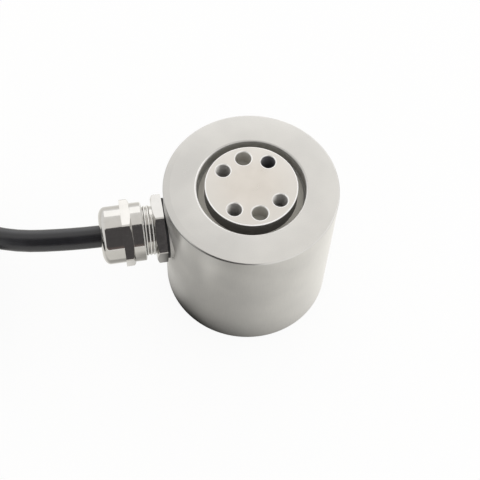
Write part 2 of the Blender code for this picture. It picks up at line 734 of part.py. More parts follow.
def add_gauges(element_axis):
    """One foil gauge on each of the four long faces of each beam."""
    half = BEAM_SIZE / 2
    middle = CUP_TOP - FIT - half
    bm = box(
        (-GAUGE_LENGTH / 2, -GAUGE_WIDTH / 2, 0), (GAUGE_LENGTH / 2, GAUGE_WIDTH / 2, GAUGE_THICKNESS)
    )
    mesh = finished_mesh("strain_gauge", bm, FOIL)
    faces = (("top", 0.0), ("side_a", math.pi / 2), ("bottom", math.pi), ("side_b", -math.pi / 2))
    for beam, angle in enumerate(around(4)):
        x, y = on_circle(GAUGE_SEAT, angle)
        carrier = add_empty(f"beam_{beam + 1}", (x, y, middle), (0, 0, angle))
        carrier.parent = element_axis
        for face, roll in faces:
            gauge = bpy.data.objects.new(f"gauge_{beam + 1}_{face}", mesh)
            lift = half + FIT
            seat = (0, -lift * math.sin(roll), lift * math.cos(roll))
            place(gauge, carrier, seat, (roll, 0, 0))


def add_terminal_board(element_axis):
    """A C-shaped board that slides in round the post, with its solder pads."""
    low = BOARD_HEIGHT
    high = low + BOARD_THICKNESS
    outline_radius = BOARD_DIAMETER / 2
    disc = turned(((0, low), (outline_radius, low), (outline_radius, high), (0, high)), MEDIUM)
    board = add_piece("terminal_board", disc, BOARD_GREEN, element_axis)

    slot = BOARD_SLOT / 2
    outline = [(BOARD_DIAMETER, -slot), (BOARD_DIAMETER, slot)]
    outline += arc((0, 0), slot, math.pi / 2, 3 * math.pi / 2, SMALL)
    cut = extruded(outline, low - OVERRUN, high + OVERRUN)
    combine(board, add_cutter("board_slot_cutter", cut, element_axis), "DIFFERENCE")

    cuts = bmesh.new()
    radius = BOARD_SCREW / 2 + FIT
    hole = through_hole(radius, BOARD_THICKNESS)
    add_holes(cuts, hole, square_places(PILLAR_CIRCLE, low))
    combine(board, add_cutter("board_hole_cutter", cuts, element_axis), "DIFFERENCE")

    pads = bmesh.new()
    half = PAD_SIZE / 2
    for x, y in pad_places():
        box((x - half, y - half, high - FIT), (x + half, y + half, high + PAD_HEIGHT), pads)
    combine(board, add_cutter("solder_pads", pads, element_axis), "UNION")

    pillar_radius = PILLAR_DIAMETER / 2
    wall = ((radius, 0), (pillar_radius, 0), (pillar_radius, PILLAR_HEIGHT), (radius, PILLAR_HEIGHT))
    pillar_mesh = finished_mesh("board_pillar", turned(wall, SMALL), SCREW_STEEL)
    head = BOARD_SCREW_HEAD / 2
    shank = BOARD_SCREW / 2
    outline = (
        (0, -BOARD_SCREW_LENGTH),
        (shank, -BOARD_SCREW_LENGTH),
        (shank, 0),
        (head, 0),
        (head, BOARD_SCREW_HEAD_HEIGHT),
    )
    bm = socket_screw(outline, BOARD_SCREW_SOCKET, BOARD_SCREW_SOCKET_DEPTH)
    screw_mesh = finished_mesh("board_screw", bm, SCREW_STEEL)
    for index, (x, y, _) in enumerate(square_places(PILLAR_CIRCLE, 0)):
        pillar = bpy.data.objects.new(f"board_pillar_{index + 1}", pillar_mesh)
        place(pillar, element_axis, (x, y, CUP_TOP + FIT))
        screw = bpy.data.objects.new(f"board_screw_{index + 1}", screw_mesh)
        place(screw, element_axis, (x, y, high + FIT))


def pad_places():
    return [on_circle(PAD_CIRCLE / 2, math.pi - math.radians(angle)) for angle in PAD_ANGLES]


def add_core_wires(element_axis):
    """Six insulated cores from the sheath's end down to their pads."""
    starts = [on_circle(CORE_RING / 2, angle) for angle in around(6, math.radians(30))]
    starts.sort(key=lambda start: (-round(start[0], 6), -start[1] * math.copysign(1, start[0])))
    height = BOARD_HEIGHT + BOARD_THICKNESS + PAD_HEIGHT + FIT
    turn = element_axis.rotation_euler.z
    for index, (start, pad) in enumerate(zip(starts, pad_places())):
        x = pad[0] * math.cos(turn) - pad[1] * math.sin(turn)
        y = pad[0] * math.sin(turn) + pad[1] * math.cos(turn)
        begin = Vector((-CABLE_INNER_END + FIT, start[0], PORT_HEIGHT + start[1]))
        out = begin + Vector((CORE_STRAIGHT, CORE_SPREAD * start[0], 0))
        above = Vector((x, y, height + CORE_DROP))
        end = Vector((x, y, height))
        middle = out.lerp(above, 0.5) + Vector(CORE_ARCH)
        route = smooth_route([point / MM for point in (begin, out, middle, above, end)], CORE_STRAIGHT)
        add_tube(f"core_wire_{index + 1}", route, CORE_DIAMETER, CORE_COLOURS[index], 1)


def add_gland_body(gland_axis):
    start = HEX_START
    end = start + GLAND_HEX_THICKNESS
    tip = end + NUT_THREAD_LENGTH
    bore = GLAND_BORE / 2
    seal_seat = CABLE_DIAMETER / 2 + FIT + SEAL_WALL + FIT
    seal_floor = cage_start() - seal_lead() - FIT
    hex_band = extruded(hexagon(GLAND_HEX_ACROSS, GLAND_HEX_TURN), start, end)
    piece = add_piece("gland_body", hex_band, NICKEL, gland_axis)
    combine(piece, add_cutter("gland_hex_rounding", hex_rounding(start, end), gland_axis), "INTERSECT")
    barrel = (
        (0, GLAND_THREAD_END),
        (GLAND_THREAD / 2 - THREAD_LEAD, GLAND_THREAD_END),
        (GLAND_THREAD / 2, GLAND_THREAD_END + THREAD_LEAD),
        (GLAND_THREAD / 2, start + OVERLAP),
        (NUT_THREAD / 2, end - OVERLAP),
        (NUT_THREAD / 2, tip - THREAD_LEAD),
        (NUT_THREAD / 2 - THREAD_LEAD, tip),
        (0, tip),
    )
    combine(piece, add_cutter("gland_barrel", turned(barrel, MEDIUM), gland_axis), "UNION")
    bores = (
        (0, GLAND_THREAD_END - OVERRUN),
        (bore, GLAND_THREAD_END - OVERRUN),
        (bore, seal_floor),
        (seal_seat, seal_floor),
        (seal_seat, tip + OVERRUN),
        (0, tip + OVERRUN),
    )
    combine(piece, add_cutter("gland_bore_cutter", turned(bores, MEDIUM), gland_axis), "DIFFERENCE")


def hex_rounding(start, end):
    """The turned shape that takes the sharp corners off a hexagon's two faces."""
    corner = GLAND_HEX_ACROSS / math.sqrt(3)
    face = corner - HEX_CHAMFER * 2
    slope = (corner + OVERRUN - face) / 2
    return turned(
        (
            (0, start),
            (face, start),
            (corner + OVERRUN, start + slope),
            (corner + OVERRUN, end - slope),
            (face, end),
            (0, end),
        ),
        MEDIUM,
    )


def add_gland_washer(gland_axis):
    bore = GLAND_THREAD / 2 + FIT
    low = PORT_FACE + FIT
    ring = (
        (bore, low),
        (WASHER_DIAMETER / 2, low),
        (WASHER_DIAMETER / 2, low + WASHER_THICKNESS),
        (bore, low + WASHER_THICKNESS),
    )
    add_piece("gland_washer", turned(ring, MEDIUM), BLACK_RUBBER, gland_axis)


def cage_start():
    return HEX_START + GLAND_HEX_THICKNESS + NUT_THREAD_LENGTH + FIT


def seal_lead():
    """How far the seal reaches down into the gland body, below the cage."""
    return SEAL_LENGTH - CAGE_BASE_LENGTH - CAGE_FINGER_LENGTH


def add_gland_seal(gland_axis):
    inner = CABLE_DIAMETER / 2 + FIT
    low = cage_start() - seal_lead()
    sleeve = (
        (inner, low),
        (inner + SEAL_WALL, low),
        (inner + SEAL_WALL, low + SEAL_LENGTH),
        (inner, low + SEAL_LENGTH),
    )
    add_piece("gland_seal", turned(sleeve, COARSE), GREY_RUBBER, gland_axis)


def add_gland_cage(gland_axis):
    """Plastic ring of fingers that the nut's cone presses round the seal."""
    inner = CABLE_DIAMETER / 2 + FIT + SEAL_WALL + FIT
    outer = NUT_BORE / 2 - FIT - CAGE_PLAY
    low = cage_start()
    shoulder = low + CAGE_BASE_LENGTH
    tip = shoulder + CAGE_FINGER_LENGTH
    taper = NUT_CONE_DROP * CAGE_FINGER_LENGTH / NUT_CONE_LENGTH
    ring = ((inner, low), (outer, low), (outer, shoulder), (outer - taper, tip), (inner, tip))
    cage = add_piece("gland_clamp_cage", turned(ring, MEDIUM), POLYAMIDE, gland_axis)
    cuts = bmesh.new()
    for angle in around(CAGE_SLOTS):
        before = set(cuts.verts)
        box(
            (inner - OVERRUN, -CAGE_SLOT / 2, low + CAGE_RING_LENGTH),
            (outer + OVERRUN, CAGE_SLOT / 2, tip + OVERRUN),
            cuts,
        )
        turn_new(cuts, before, angle)
    combine(cage, add_cutter("cage_slot_cutter", cuts, gland_axis), "DIFFERENCE")


def add_dome_nut(gland_axis):
    """Clamping nut: round skirt, hexagon and domed nose, hollow for the cage and its cone."""
    skirt_end = NUT_REAR + NUT_SKIRT_LENGTH
    hex_end = skirt_end + NUT_HEX_THICKNESS
    dome = DOME_DIAMETER / 2
    nose_start = hex_end + DOME_LENGTH
    nose_end = nose_start + DOME_ROUND_LENGTH
    hex_band = extruded(hexagon(GLAND_HEX_ACROSS, NUT_HEX_TURN), skirt_end, hex_end)
    piece = add_piece("gland_dome_nut", hex_band, NICKEL, gland_axis)
    rounding = hex_rounding(skirt_end, hex_end)
    combine(piece, add_cutter("nut_hex_rounding", rounding, gland_axis), "INTERSECT")
    nose = []
    for step in range(NOSE_STEPS + 1):
        angle = math.pi / 2 * step / NOSE_STEPS
        radius = dome - DOME_ROUND_HEIGHT * (1 - math.cos(angle))
        nose.append((radius, nose_start + DOME_ROUND_LENGTH * math.sin(angle)))
    body = [
        (0, NUT_REAR),
        (NUT_SKIRT_DIAMETER / 2 - SKIRT_EDGE, NUT_REAR),
        (NUT_SKIRT_DIAMETER / 2, NUT_REAR + SKIRT_EDGE),
        (NUT_SKIRT_DIAMETER / 2, skirt_end + OVERLAP),
        (dome, hex_end - OVERLAP),
        *nose,
        (0, nose_end),
    ]
    combine(piece, add_cutter("nut_dome", turned(body, MEDIUM), gland_axis), "UNION")
    bore = NUT_BORE / 2
    cone_start = hex_end + NUT_CONE_START
    cone_end = cone_start + NUT_CONE_LENGTH
    mouth = CABLE_DIAMETER / 2 + FIT
    hollow = (
        (0, NUT_REAR - OVERRUN),
        (bore, NUT_REAR - OVERRUN),
        (bore, cone_start),
        (bore - NUT_CONE_DROP, cone_end),
        (mouth, cone_end),
        (mouth, nose_end + OVERRUN),
        (0, nose_end + OVERRUN),
    )
    combine(piece, add_cutter("nut_bore_cutter", turned(hollow, MEDIUM), gland_axis), "DIFFERENCE")


def add_cable():
    inside = (-CABLE_INNER_END / MM, 0.0, PORT_HEIGHT / MM)
    route = smooth_route((inside,) + CABLE_ROUTE, 2 * CABLE_DIAMETER)
    add_tube("cable_run", route, CABLE_DIAMETER, SHEATH)
    add_tube("cable_tail", smooth_route(TAIL_ROUTE, CABLE_DIAMETER), CABLE_DIAMETER, SHEATH)
    add_tube("cable_leads", smooth_route(LEADS_ROUTE, 3 * MM), LEADS_DIAMETER, TINNED, 2)


def stadium(radius, straight, steps=16):
    right = arc((straight / 2, 0), radius, -math.pi / 2, math.pi / 2, steps)
    left = arc((-straight / 2, 0), radius, math.pi / 2, 3 * math.pi / 2, steps)
    return right + left


def add_hank():
    """The spare cable as one closed solid of its outer shape, with a tie round each side."""
    outer = HANK_FOLD_RADIUS + (HANK_COLUMNS - 0.5) * CABLE_DIAMETER
    inner = HANK_FOLD_RADIUS - CABLE_DIAMETER / 2
    lift = TIE_THICKNESS + FIT
    height = lift + HANK_LAYERS * CABLE_DIAMETER
    centre = HANK_NEAR_END - outer - HANK_STRAIGHT / 2
    hank = add_piece(
        "cable_hank", extruded(stadium(outer, HANK_STRAIGHT), 0, height), SHEATH, location=(centre, 0, 0)
    )
    void = add_cutter(
        "hank_void_cutter",
        extruded(stadium(inner, HANK_STRAIGHT), -OVERRUN, height + OVERRUN),
        location=(centre, 0, 0),
    )
    combine(hank, void, "DIFFERENCE")
    half_width = TIE_WIDTH / 2 + FIT
    channel = box((-half_width, -outer - OVERRUN, -OVERRUN), (half_width, outer + OVERRUN, lift))
    combine(hank, add_cutter("tie_channel_cutter", channel, location=(centre, 0, 0)), "DIFFERENCE")

    for index, side in enumerate((1, -1)):
        low = inner - FIT
        high = outer + FIT
        wall = TIE_THICKNESS
        outline = sorted((side * (low - wall), side * (high + wall)))
        hole = sorted((side * low, side * high))
        top = height + FIT
        tie = add_piece(
            f"cable_tie_{index + 1}",
            box((-TIE_WIDTH / 2, outline[0], 0), (TIE_WIDTH / 2, outline[1], top + wall)),
            BLACK_RUBBER,
            location=(centre, 0, 0),
        )
        gap = box((-TIE_WIDTH, hole[0], wall), (TIE_WIDTH, hole[1], top))
        gap_cutter = add_cutter(f"tie_gap_cutter_{index + 1}", gap, location=(centre, 0, 0))
        combine(tie, gap_cutter, "DIFFERENCE")


def main():
    clear_scene()
    gland_axis = add_empty("gland_axis", (0, 0, PORT_HEIGHT), (0, -math.pi / 2, 0))
    element_axis = add_empty("element_axis", (0, 0, 0), (0, 0, ELEMENT_TURN))
    add_housing(gland_axis, element_axis)
    add_sensing_element(element_axis)
    add_housing_screws(element_axis)
    add_cover(element_axis)
    add_gauges(element_axis)
    add_terminal_board(element_axis)
    add_core_wires(element_axis)
    add_gland_body(gland_axis)
    add_gland_washer(gland_axis)
    add_gland_seal(gland_axis)
    add_gland_cage(gland_axis)
    add_dome_nut(gland_axis)
    add_cable()
    add_hank()


main()
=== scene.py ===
"""The looks of the multi-axis load cell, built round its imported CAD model.

Metres, +Z up, in the CAD model's frame: the body's axis is Z, the gland points along -X.
"""

import json
import math

import bmesh
import bpy
from mathutils import Matrix, Vector


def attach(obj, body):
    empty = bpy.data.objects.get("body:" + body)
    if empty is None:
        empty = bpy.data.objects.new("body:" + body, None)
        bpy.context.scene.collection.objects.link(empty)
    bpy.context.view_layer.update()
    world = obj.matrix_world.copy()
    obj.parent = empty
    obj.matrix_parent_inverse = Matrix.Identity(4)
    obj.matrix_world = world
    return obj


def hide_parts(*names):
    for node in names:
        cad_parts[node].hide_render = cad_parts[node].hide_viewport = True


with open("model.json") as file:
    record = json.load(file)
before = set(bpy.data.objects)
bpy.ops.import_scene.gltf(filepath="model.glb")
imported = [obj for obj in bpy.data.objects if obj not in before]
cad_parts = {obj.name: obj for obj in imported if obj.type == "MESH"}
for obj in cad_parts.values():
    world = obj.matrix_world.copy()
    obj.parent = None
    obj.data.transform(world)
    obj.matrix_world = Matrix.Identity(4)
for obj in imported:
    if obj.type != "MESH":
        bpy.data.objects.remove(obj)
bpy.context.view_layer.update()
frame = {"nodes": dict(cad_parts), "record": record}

MM = 0.001

# Body and element, as in the CAD model
BODY_RADIUS = 25.0 * MM
BODY_HEIGHT = 47.0 * MM
RING_BORE_RADIUS = 15.5 * MM
CAVITY_RADIUS = 17.6 * MM
LIP_DEPTH = 6.0 * MM
LIP_LAND = 2.0 * MM
LIP_RELIEF = 0.25 * MM
POCKET_RADIUS = 23.2 * MM
POCKET_DEPTH = 7.0 * MM
ELEMENT_TURN = math.radians(4.5)
PLATFORM_RADIUS = 13.2 * MM
PLATFORM_TOP = 47.9 * MM
PLATFORM_THICKNESS = 8.5 * MM
SHOULDER_RADIUS = 15.1 * MM
SHOULDER_TOP = 42.9 * MM
POST_RADIUS = 6.0 * MM
POST_FLARE = 3.6 * MM
CUP_RADIUS = 17.0 * MM
CUP_TOP = 22.0 * MM
FLANGE_TOP = 6.7 * MM
COVER_SEAT_RADIUS = 15.9 * MM
COVER_POCKET_DEPTH = 2.8 * MM

# Holes
LOAD_CIRCLE_RADIUS = 9.35 * MM
BASE_CIRCLE_RADIUS = 19.0 * MM
THREAD_MAJOR = 2.46 * MM
THREAD_MINOR = 2.08 * MM
THREAD_PITCH = 0.8 * MM
THREAD_MOUTH = 2.34 * MM
THREAD_LEAD = 0.55 * MM
THREAD_STEPS = 48
LOAD_THREAD_DEPTH = 6.4 * MM
BASE_THREAD_DEPTH = 4.6 * MM
DOWEL_RADIUS = 2.3 * MM
DOWEL_MOUTH = 2.54 * MM
LOAD_DOWEL_DEPTH = 5.0 * MM
BASE_SCREW_CIRCLE = 19.9 * MM
COVER_SCREW_CIRCLE = 13.2 * MM
DRILL_POINT = math.radians(59)
ELEMENT_EDGE = 0.28 * MM
BODY_EASE = 0.12 * MM
HOLE_EASE = 0.05 * MM
HOLE_STEPS = 64
# How far a cutter reaches past the face that it cuts
OVERCUT = 1.0 * MM

# Gland: distances along its axis are from the body's axis
PORT_HEIGHT = 30.7 * MM
PORT_FACE = 23.9 * MM
PORT_FACE_RADIUS = 8.9 * MM
WASHER_FACE = 24.6 * MM
GLAND_AXIS = Matrix.Translation((0, 0, PORT_HEIGHT)) @ Matrix.Rotation(-math.pi / 2, 4, "Y")
ELEMENT_AXIS = Matrix.Rotation(ELEMENT_TURN, 4, "Z")
BODY_AXIS = Matrix.Identity(4)
CREST_RADIUS = 7.3 * MM

CABLE_DIAMETER = 6.5 * MM

# Heights in millimetres from which the edges of ring and platform count as their rims
RING_RIM_HEIGHT = 46.78
PLATFORM_RIM_HEIGHT = 47.62

# Directions about Z from which the table looks lit, pale and dark at the foot
WINDOW_SIDE = math.radians(36)
PALE_SIDE = math.radians(140)
FOOT_SIDE = math.radians(10)

TURN_STEPS = 192
EDGE_STEPS = 4


# Mesh making

def linked(name, data):
    """A new object in the scene that carries the mesh, curve, light or camera."""
    piece = bpy.data.objects.new(name, data)
    bpy.context.scene.collection.objects.link(piece)
    return piece


def put_in_scene(name, mesh, slot, finish=None):
    """Makes a finished piece of a mesh whose place is already in its points."""
    mesh.materials.clear()
    mesh.materials.append(finish or FINISHES[slot])
    piece = linked(name, mesh)
    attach(piece, "root")
    return piece


def plain_mesh(name, bm):
    mesh = bpy.data.meshes.new(name)
    bm.to_mesh(mesh)
    bm.free()
    return mesh


def mesh_of(name, bm, axis=BODY_AXIS, sharp=30):
    """The mesh with doubles merged and normals outward, placed by axis, its steep edges sharp."""
    bmesh.ops.remove_doubles(bm, verts=bm.verts, dist=1e-7)
    bmesh.ops.recalc_face_normals(bm, faces=bm.faces)
    bmesh.ops.transform(bm, matrix=axis, verts=bm.verts, space=BODY_AXIS)
    mesh = plain_mesh(name, bm)
    smooth_with_sharp_edges(mesh, sharp)
    return mesh


def smooth_with_sharp_edges(mesh, sharp=30):
    mesh.shade_smooth()
    mesh.set_sharp_from_angle(angle=math.radians(sharp))


def eased(profile, ease, closed=True):
    """An outline with each corner replaced by a small arc of the given radius."""
    count = len(profile)
    result = []
    for index, (radius, height) in enumerate(profile):
        corner = Vector((radius, height))
        on_axis = radius < 1e-9
        at_end = not closed and index in (0, count - 1)
        if on_axis or at_end:
            result.append((radius, height))
            continue
        before = Vector(profile[index - 1]) - corner
        after = Vector(profile[(index + 1) % count]) - corner
        reach = min(ease, before.length * 0.45, after.length * 0.45)
        start = corner + before.normalized() * reach
        end = corner + after.normalized() * reach
        for step in range(EDGE_STEPS + 1):
            t = step / EDGE_STEPS
            point = start * (1 - t) ** 2 + corner * 2 * t * (1 - t) + end * t * t
            result.append((point.x, point.y))
    return result


def turned(rows, steps=TURN_STEPS, closed=True):
    """A body turned about Z. A row is (radius, height), and either may be a function of the angle."""
    bm = bmesh.new()
    rings = []
    for radius, height in rows:
        ring = []
        for angle in around(steps):
            r = radius(angle) if callable(radius) else radius
            z = height(angle) if callable(height) else height
            ring.append(bm.verts.new((*on_circle(r, angle), z)))
        rings.append(ring)
    if closed:
        rings.append(rings[0])
    for low, high in zip(rings, rings[1:]):
        for step in range(steps):
            after = (step + 1) % steps
            bm.faces.new((low[step], low[after], high[after], high[step]))
    bmesh.ops.remove_doubles(bm, verts=bm.verts, dist=1e-8)
    flat = [face for face in bm.faces if face.calc_area() < 1e-16]
    bmesh.ops.delete(bm, geom=flat, context="FACES_ONLY")
    return bm


def extruded(outline, bottom, top, bm):
    """Adds a prism of the outline to bm."""
    low = [bm.verts.new((x, y, bottom)) for x, y in outline]
    high = [bm.verts.new((x, y, top)) for x, y in outline]
    bm.faces.new(low[::-1])
    bm.faces.new(high)
    for index in range(len(low)):
        after = (index + 1) % len(low)
        bm.faces.new((low[index], low[after], high[after], high[index]))


def box(low, high, bm):
    outline = ((low[0], low[1]), (high[0], low[1]), (high[0], high[1]), (low[0], high[1]))
    extruded(outline, low[2], high[2], bm)


def around(count, start=0.0):
    return [start + math.tau * index / count for index in range(count)]


def on_circle(radius, angle):
    return radius * math.cos(angle), radius * math.sin(angle)


def added(bm, make, *moves):
    """Runs make(bm) and moves what it added by each matrix in turn."""
    before = set(bm.verts)
    make(bm)
    new = [vert for vert in bm.verts if vert not in before]
    for move in moves:
        bmesh.ops.transform(bm, matrix=move, verts=new, space=BODY_AXIS)


def combined(name, base, tools):
    """The mesh of base after each (operation, bmesh) in tools, all in the base's own place."""
    target = linked(name, base)
    helpers = []
    for operation, bm in tools:
        bmesh.ops.recalc_face_normals(bm, faces=bm.faces)
        helper = linked("cutter", plain_mesh("cutter", bm))
        modifier = target.modifiers.new("cut", "BOOLEAN")
        modifier.operation = operation
        modifier.solver = "EXACT"
        modifier.object = helper
        helpers.append(helper)
    graph = bpy.context.evaluated_depsgraph_get()
    result = bpy.data.meshes.new_from_object(target.evaluated_get(graph))
    for helper in (*helpers, target):
        bpy.data.objects.remove(helper)
    result.name = name
    smooth_with_sharp_edges(result)
    return result


def smooth_route(points, spacing):
    """Points about one spacing apart on a smooth curve through the route's own points."""
    knots = [Vector(point) * MM for point in points]
    ends = [2 * knots[0] - knots[1]] + knots + [2 * knots[-1] - knots[-2]]
    route = []
    for before, start, end, after in zip(ends, ends[1:], ends[2:], ends[3:]):
        steps = max(1, round((end - start).length / spacing))
        for step in range(steps):
            t = step / steps
            bend = (2 * before - 5 * start + 4 * end - after) * t * t
            twist = (3 * start - before - 3 * end + after) * t * t * t
            route.append(0.5 * (2 * start + (end - before) * t + bend + twist))
    return route + [knots[-1]]


def evenly_spaced(points, spacing):
    """The same route with its points one even distance apart."""
    lengths = [0.0]
    for start, end in zip(points, points[1:]):
        lengths.append(lengths[-1] + (end - start).length)
    count = max(2, round(lengths[-1] / spacing))
    result, index = [], 0
    for step in range(count + 1):
        target = lengths[-1] * step / count
        while index < len(points) - 2 and lengths[index + 1] < target:
            index += 1
        run = lengths[index + 1] - lengths[index]
        t = (target - lengths[index]) / run if run else 0
        result.append(points[index].lerp(points[index + 1], min(1, t)))
    return result


def softened(points, rounds):
    """The route with each inner point drawn toward its neighbours, so many times over."""
    for _ in range(rounds):
        threes = zip(points, points[1:], points[2:])
        inner = [(before + 2 * here + after) / 4 for before, here, after in threes]
        points = [points[0], *inner, points[-1]]
    return points


def tube_curve(name, points, diameter, finish, resolution):
    """A curve object of one open spline with a round section."""
    curve = bpy.data.curves.new(name, "CURVE")
    curve.dimensions = "3D"
    curve.bevel_depth = diameter / 2
    curve.bevel_resolution = resolution
    curve.use_fill_caps = True
    spline = curve.splines.new("POLY")
    spline.points.add(len(points) - 1)
    for point, place in zip(spline.points, points):
        point.co = (*place, 1.0)
    spline.use_smooth = True
    curve.materials.append(finish)
    return linked(name, curve)


# Shader maths


class Value:
    """A socket that can be used in arithmetic: each operation adds a Math node."""

    def __init__(self, nodes, socket):
        self.nodes = nodes
        self.socket = socket

    def of(self, output):
        return Value(self.nodes, self.socket.node.outputs[output])

    def __add__(self, other):
        return self.nodes.maths("ADD", self, other)

    def __sub__(self, other):
        return self.nodes.maths("SUBTRACT", self, other)

    def __rsub__(self, other):
        return self.nodes.maths("SUBTRACT", other, self)

    def __mul__(self, other):
        return self.nodes.maths("MULTIPLY", self, other)

    def __truediv__(self, other):
        return self.nodes.maths("DIVIDE", self, other)

    def __pow__(self, other):
        return self.nodes.maths("POWER", self, other)

    __radd__ = __add__
    __rmul__ = __mul__


class Nodes:
    """A node tree that is written as expressions."""

    def __init__(self, tree):
        self.tree = tree

    def node(self, kind, settings=None, inputs=None, output=0):
        made = self.tree.nodes.new(kind)
        for key, value in (settings or {}).items():
            setattr(made, key, value)
        for key, value in (inputs or {}).items():
            self.feed(made.inputs[key], value)
        return Value(self, made.outputs[output])

    def feed(self, socket, value):
        if isinstance(value, Value):
            self.tree.links.new(value.socket, socket)
        else:
            socket.default_value = value

    def maths(self, operation, *values):
        return self.node("ShaderNodeMath", {"operation": operation}, dict(enumerate(values)))


class Finish(Nodes):
    """The nodes of a material or world, with a name for each step that finishes share."""

    def __init__(self, block):
        block.use_nodes = True
        super().__init__(block.node_tree)

    def clamped(self, value):
        return self.node("ShaderNodeClamp", {}, {"Value": value})

    def place(self, scale=(1, 1, 1), turn=0.0):
        """Object coordinates in millimetres, stretched by the scale and turned about Z."""
        where = self.node("ShaderNodeTexCoord", output="Object")
        inputs = {"Vector": where, "Scale": tuple(part / MM for part in scale), "Rotation": (0, 0, turn)}
        return self.node("ShaderNodeMapping", {}, inputs)

    def parts(self, vector):
        x = self.node("ShaderNodeSeparateXYZ", {}, {0: vector}, "X")
        return x, x.of("Y"), x.of("Z")

    def near(self, value, middle, reach):
        """1 where value is within reach of middle, else 0."""
        return self.maths("COMPARE", value, middle, reach)

    def above(self, value, limit):
        return self.maths("GREATER_THAN", value, limit)

    def size_of(self, value):
        return self.maths("ABSOLUTE", value)

    def sign_of(self, value):
        return self.maths("SIGN", value)

    def larger(self, *values):
        result = values[0]
        for value in values[1:]:
            result = self.maths("MAXIMUM", result, value)
        return result

    def noise(self, vector, scale, detail=3.0, roughness=0.5):
        inputs = {"Vector": vector, "Scale": scale, "Detail": detail, "Roughness": roughness}
        return self.node("ShaderNodeTexNoise", {}, inputs)

    def waves(self, settings, **sizes):
        return self.node("ShaderNodeTexWave", settings, {"Vector": self.place(), **sizes})

    def spread(self, value, low, high, to_low=0.0, to_high=1.0):
        """Value from low..high carried to to_low..to_high, and held there beyond."""
        numbers = {"From Min": low, "From Max": high, "To Min": to_low, "To Max": to_high}
        return self.node("ShaderNodeMapRange", {}, {"Value": value, **numbers})

    def blend(self, share, first, second):
        node = self.node("ShaderNodeMix", {"data_type": "RGBA"}).socket.node
        sockets = [socket for socket in node.inputs if socket.type == "RGBA"]
        for socket, value in zip((node.inputs["Factor"], *sockets), (share, first, second)):
            self.feed(socket, value)
        return Value(self, [socket for socket in node.outputs if socket.type == "RGBA"][0])

    def bump(self, height, distance, strength=1.0):
        inputs = {"Height": height, "Distance": distance, "Strength": strength}
        return self.node("ShaderNodeBump", {}, inputs)


def surface(name, fixed, varied):
    """A material with fixed numbers on the shader's own sockets, and links from varied(finish)."""
    block = bpy.data.materials.new(name)
    finish = Finish(block)
    shader = finish.tree.nodes["Principled BSDF"]
    for key, value in fixed.items():
        shader.inputs[key].default_value = value
    for key, value in varied(finish).items():
        finish.feed(shader.inputs[key], value)
    return block


def rgb(red, green, blue):
    return (red, green, blue, 1.0)


def lathe_marks(finish, across, along, depth):
    """Rings left by the tool: the pattern runs along radius plus height and hardly round the axis."""
    x, y, z = finish.parts(finish.place())
    radius = (x * x + y * y) ** 0.5
    inputs = {"X": x * across, "Y": y * across, "Z": (radius + z) * along}
    rings = finish.noise(finish.node("ShaderNodeCombineXYZ", {}, inputs), 1.0, 4.0, 0.6)
    return rings, finish.bump(rings, depth), radius, z


def turned_steel(finish):
    rings, relief, radius, z = lathe_marks(finish, 0.02, 9.0, 0.0012 * MM)
    cloud = finish.noise(finish.place(), 0.09, 2.0)
    fine = finish.noise(finish.place((1, 1, 0.08)), 3.5, 2.0)
    tone = finish.clamped(cloud * 0.7 + fine * 0.3)
    x, y, _ = finish.parts(finish.place())
    # The steel is painted a little lighter toward +X as painted light from the side window
    share = finish.spread(tone + x * 0.006, 0.30, 0.70)
    plain = finish.blend(share, rgb(0.625, 0.617, 0.599), rgb(0.713, 0.702, 0.676))
    rough = finish.spread(rings * 0.5 + cloud * 0.5, 0.3, 0.7, 0.27, 0.34)

    # The bore of the ring is left as the boring bar cut it, with painted light on its left side, and its
    # rim carries a painted highlight, wider on the left
    on_top = finish.above(z, RING_RIM_HEIGHT)
    in_bore = finish.near(radius, 16.4, 1.4) * (1 - on_top)
    rim_highlight_widening = finish.spread(x, -13, -5, 0.22, 0.0)
    rim = finish.near(radius, 15.65, 0.2 + rim_highlight_widening) * on_top
    scored = finish.noise(finish.place((0.4, 0.4, 9.0)), 1.0, 3.0, 0.7)
    share = finish.spread(scored, 0.3, 0.7)
    bore_tone = finish.blend(share, rgb(0.46, 0.45, 0.42), rgb(0.64, 0.625, 0.585))
    # Painted light: the bore is lighter on its left side
    bore_tone = finish.blend(finish.spread(x, -9, -14, 0.0, 0.6), bore_tone, rgb(0.85, 0.84, 0.78))
    colour = finish.blend(rim, finish.blend(in_bore, plain, bore_tone), rgb(0.93, 0.92, 0.90))

    # The bore's edge on the far side gets painted shade, standing in for a rounder edge
    far_side = finish.spread(x * 0.45 + y * 0.9, 3.0, 10.0)
    far_edge_shade = finish.spread(radius, 15.5, 16.3, 0.72, 0.0) * far_side * finish.above(z, 46.65)
    colour = finish.blend(far_edge_shade, colour, rgb(0.20, 0.195, 0.18))

    # Round the port the wall gets painted shade from the gland, and a rougher finish
    from_port = (y * y + (z - PORT_HEIGHT / MM) ** 2) ** 0.5
    port_shade_and_matte = finish.spread(from_port, 24.0, 13.0) * finish.above(radius, 23.0) * finish.above(0, x)

    # Toward the gland the front wall gets painted shade up to its edge, which ends in a painted dark line
    front_wall_shade = finish.spread(z, 38, 46, 0.0, 0.26) * finish.above(radius, 24.6) * finish.above(0, y)
    front_wall_shade = front_wall_shade * finish.spread(x, -20, -14) * finish.spread(x, 2, -8)
    edge_shade_line = finish.near(z, 46.68, 0.2) * finish.above(radius, 24.7)
    edge_shade_line = edge_shade_line * finish.spread(y, 0, -4, 0.0, 0.75) * finish.spread(x, -4, -12)
    shaded = finish.larger(port_shade_and_matte * 0.12, front_wall_shade, edge_shade_line)
    colour = finish.blend(shaded, colour, rgb(0.2, 0.2, 0.19))
    return {
        "Base Color": colour,
        "Roughness": finish.larger(rough, in_bore * 0.55, rim * 0.45, port_shade_and_matte * 0.54),
        "Metallic": 1 - finish.larger(in_bore * 0.45, rim * 0.7) * (1 - far_edge_shade),
        "Normal": relief,
    }


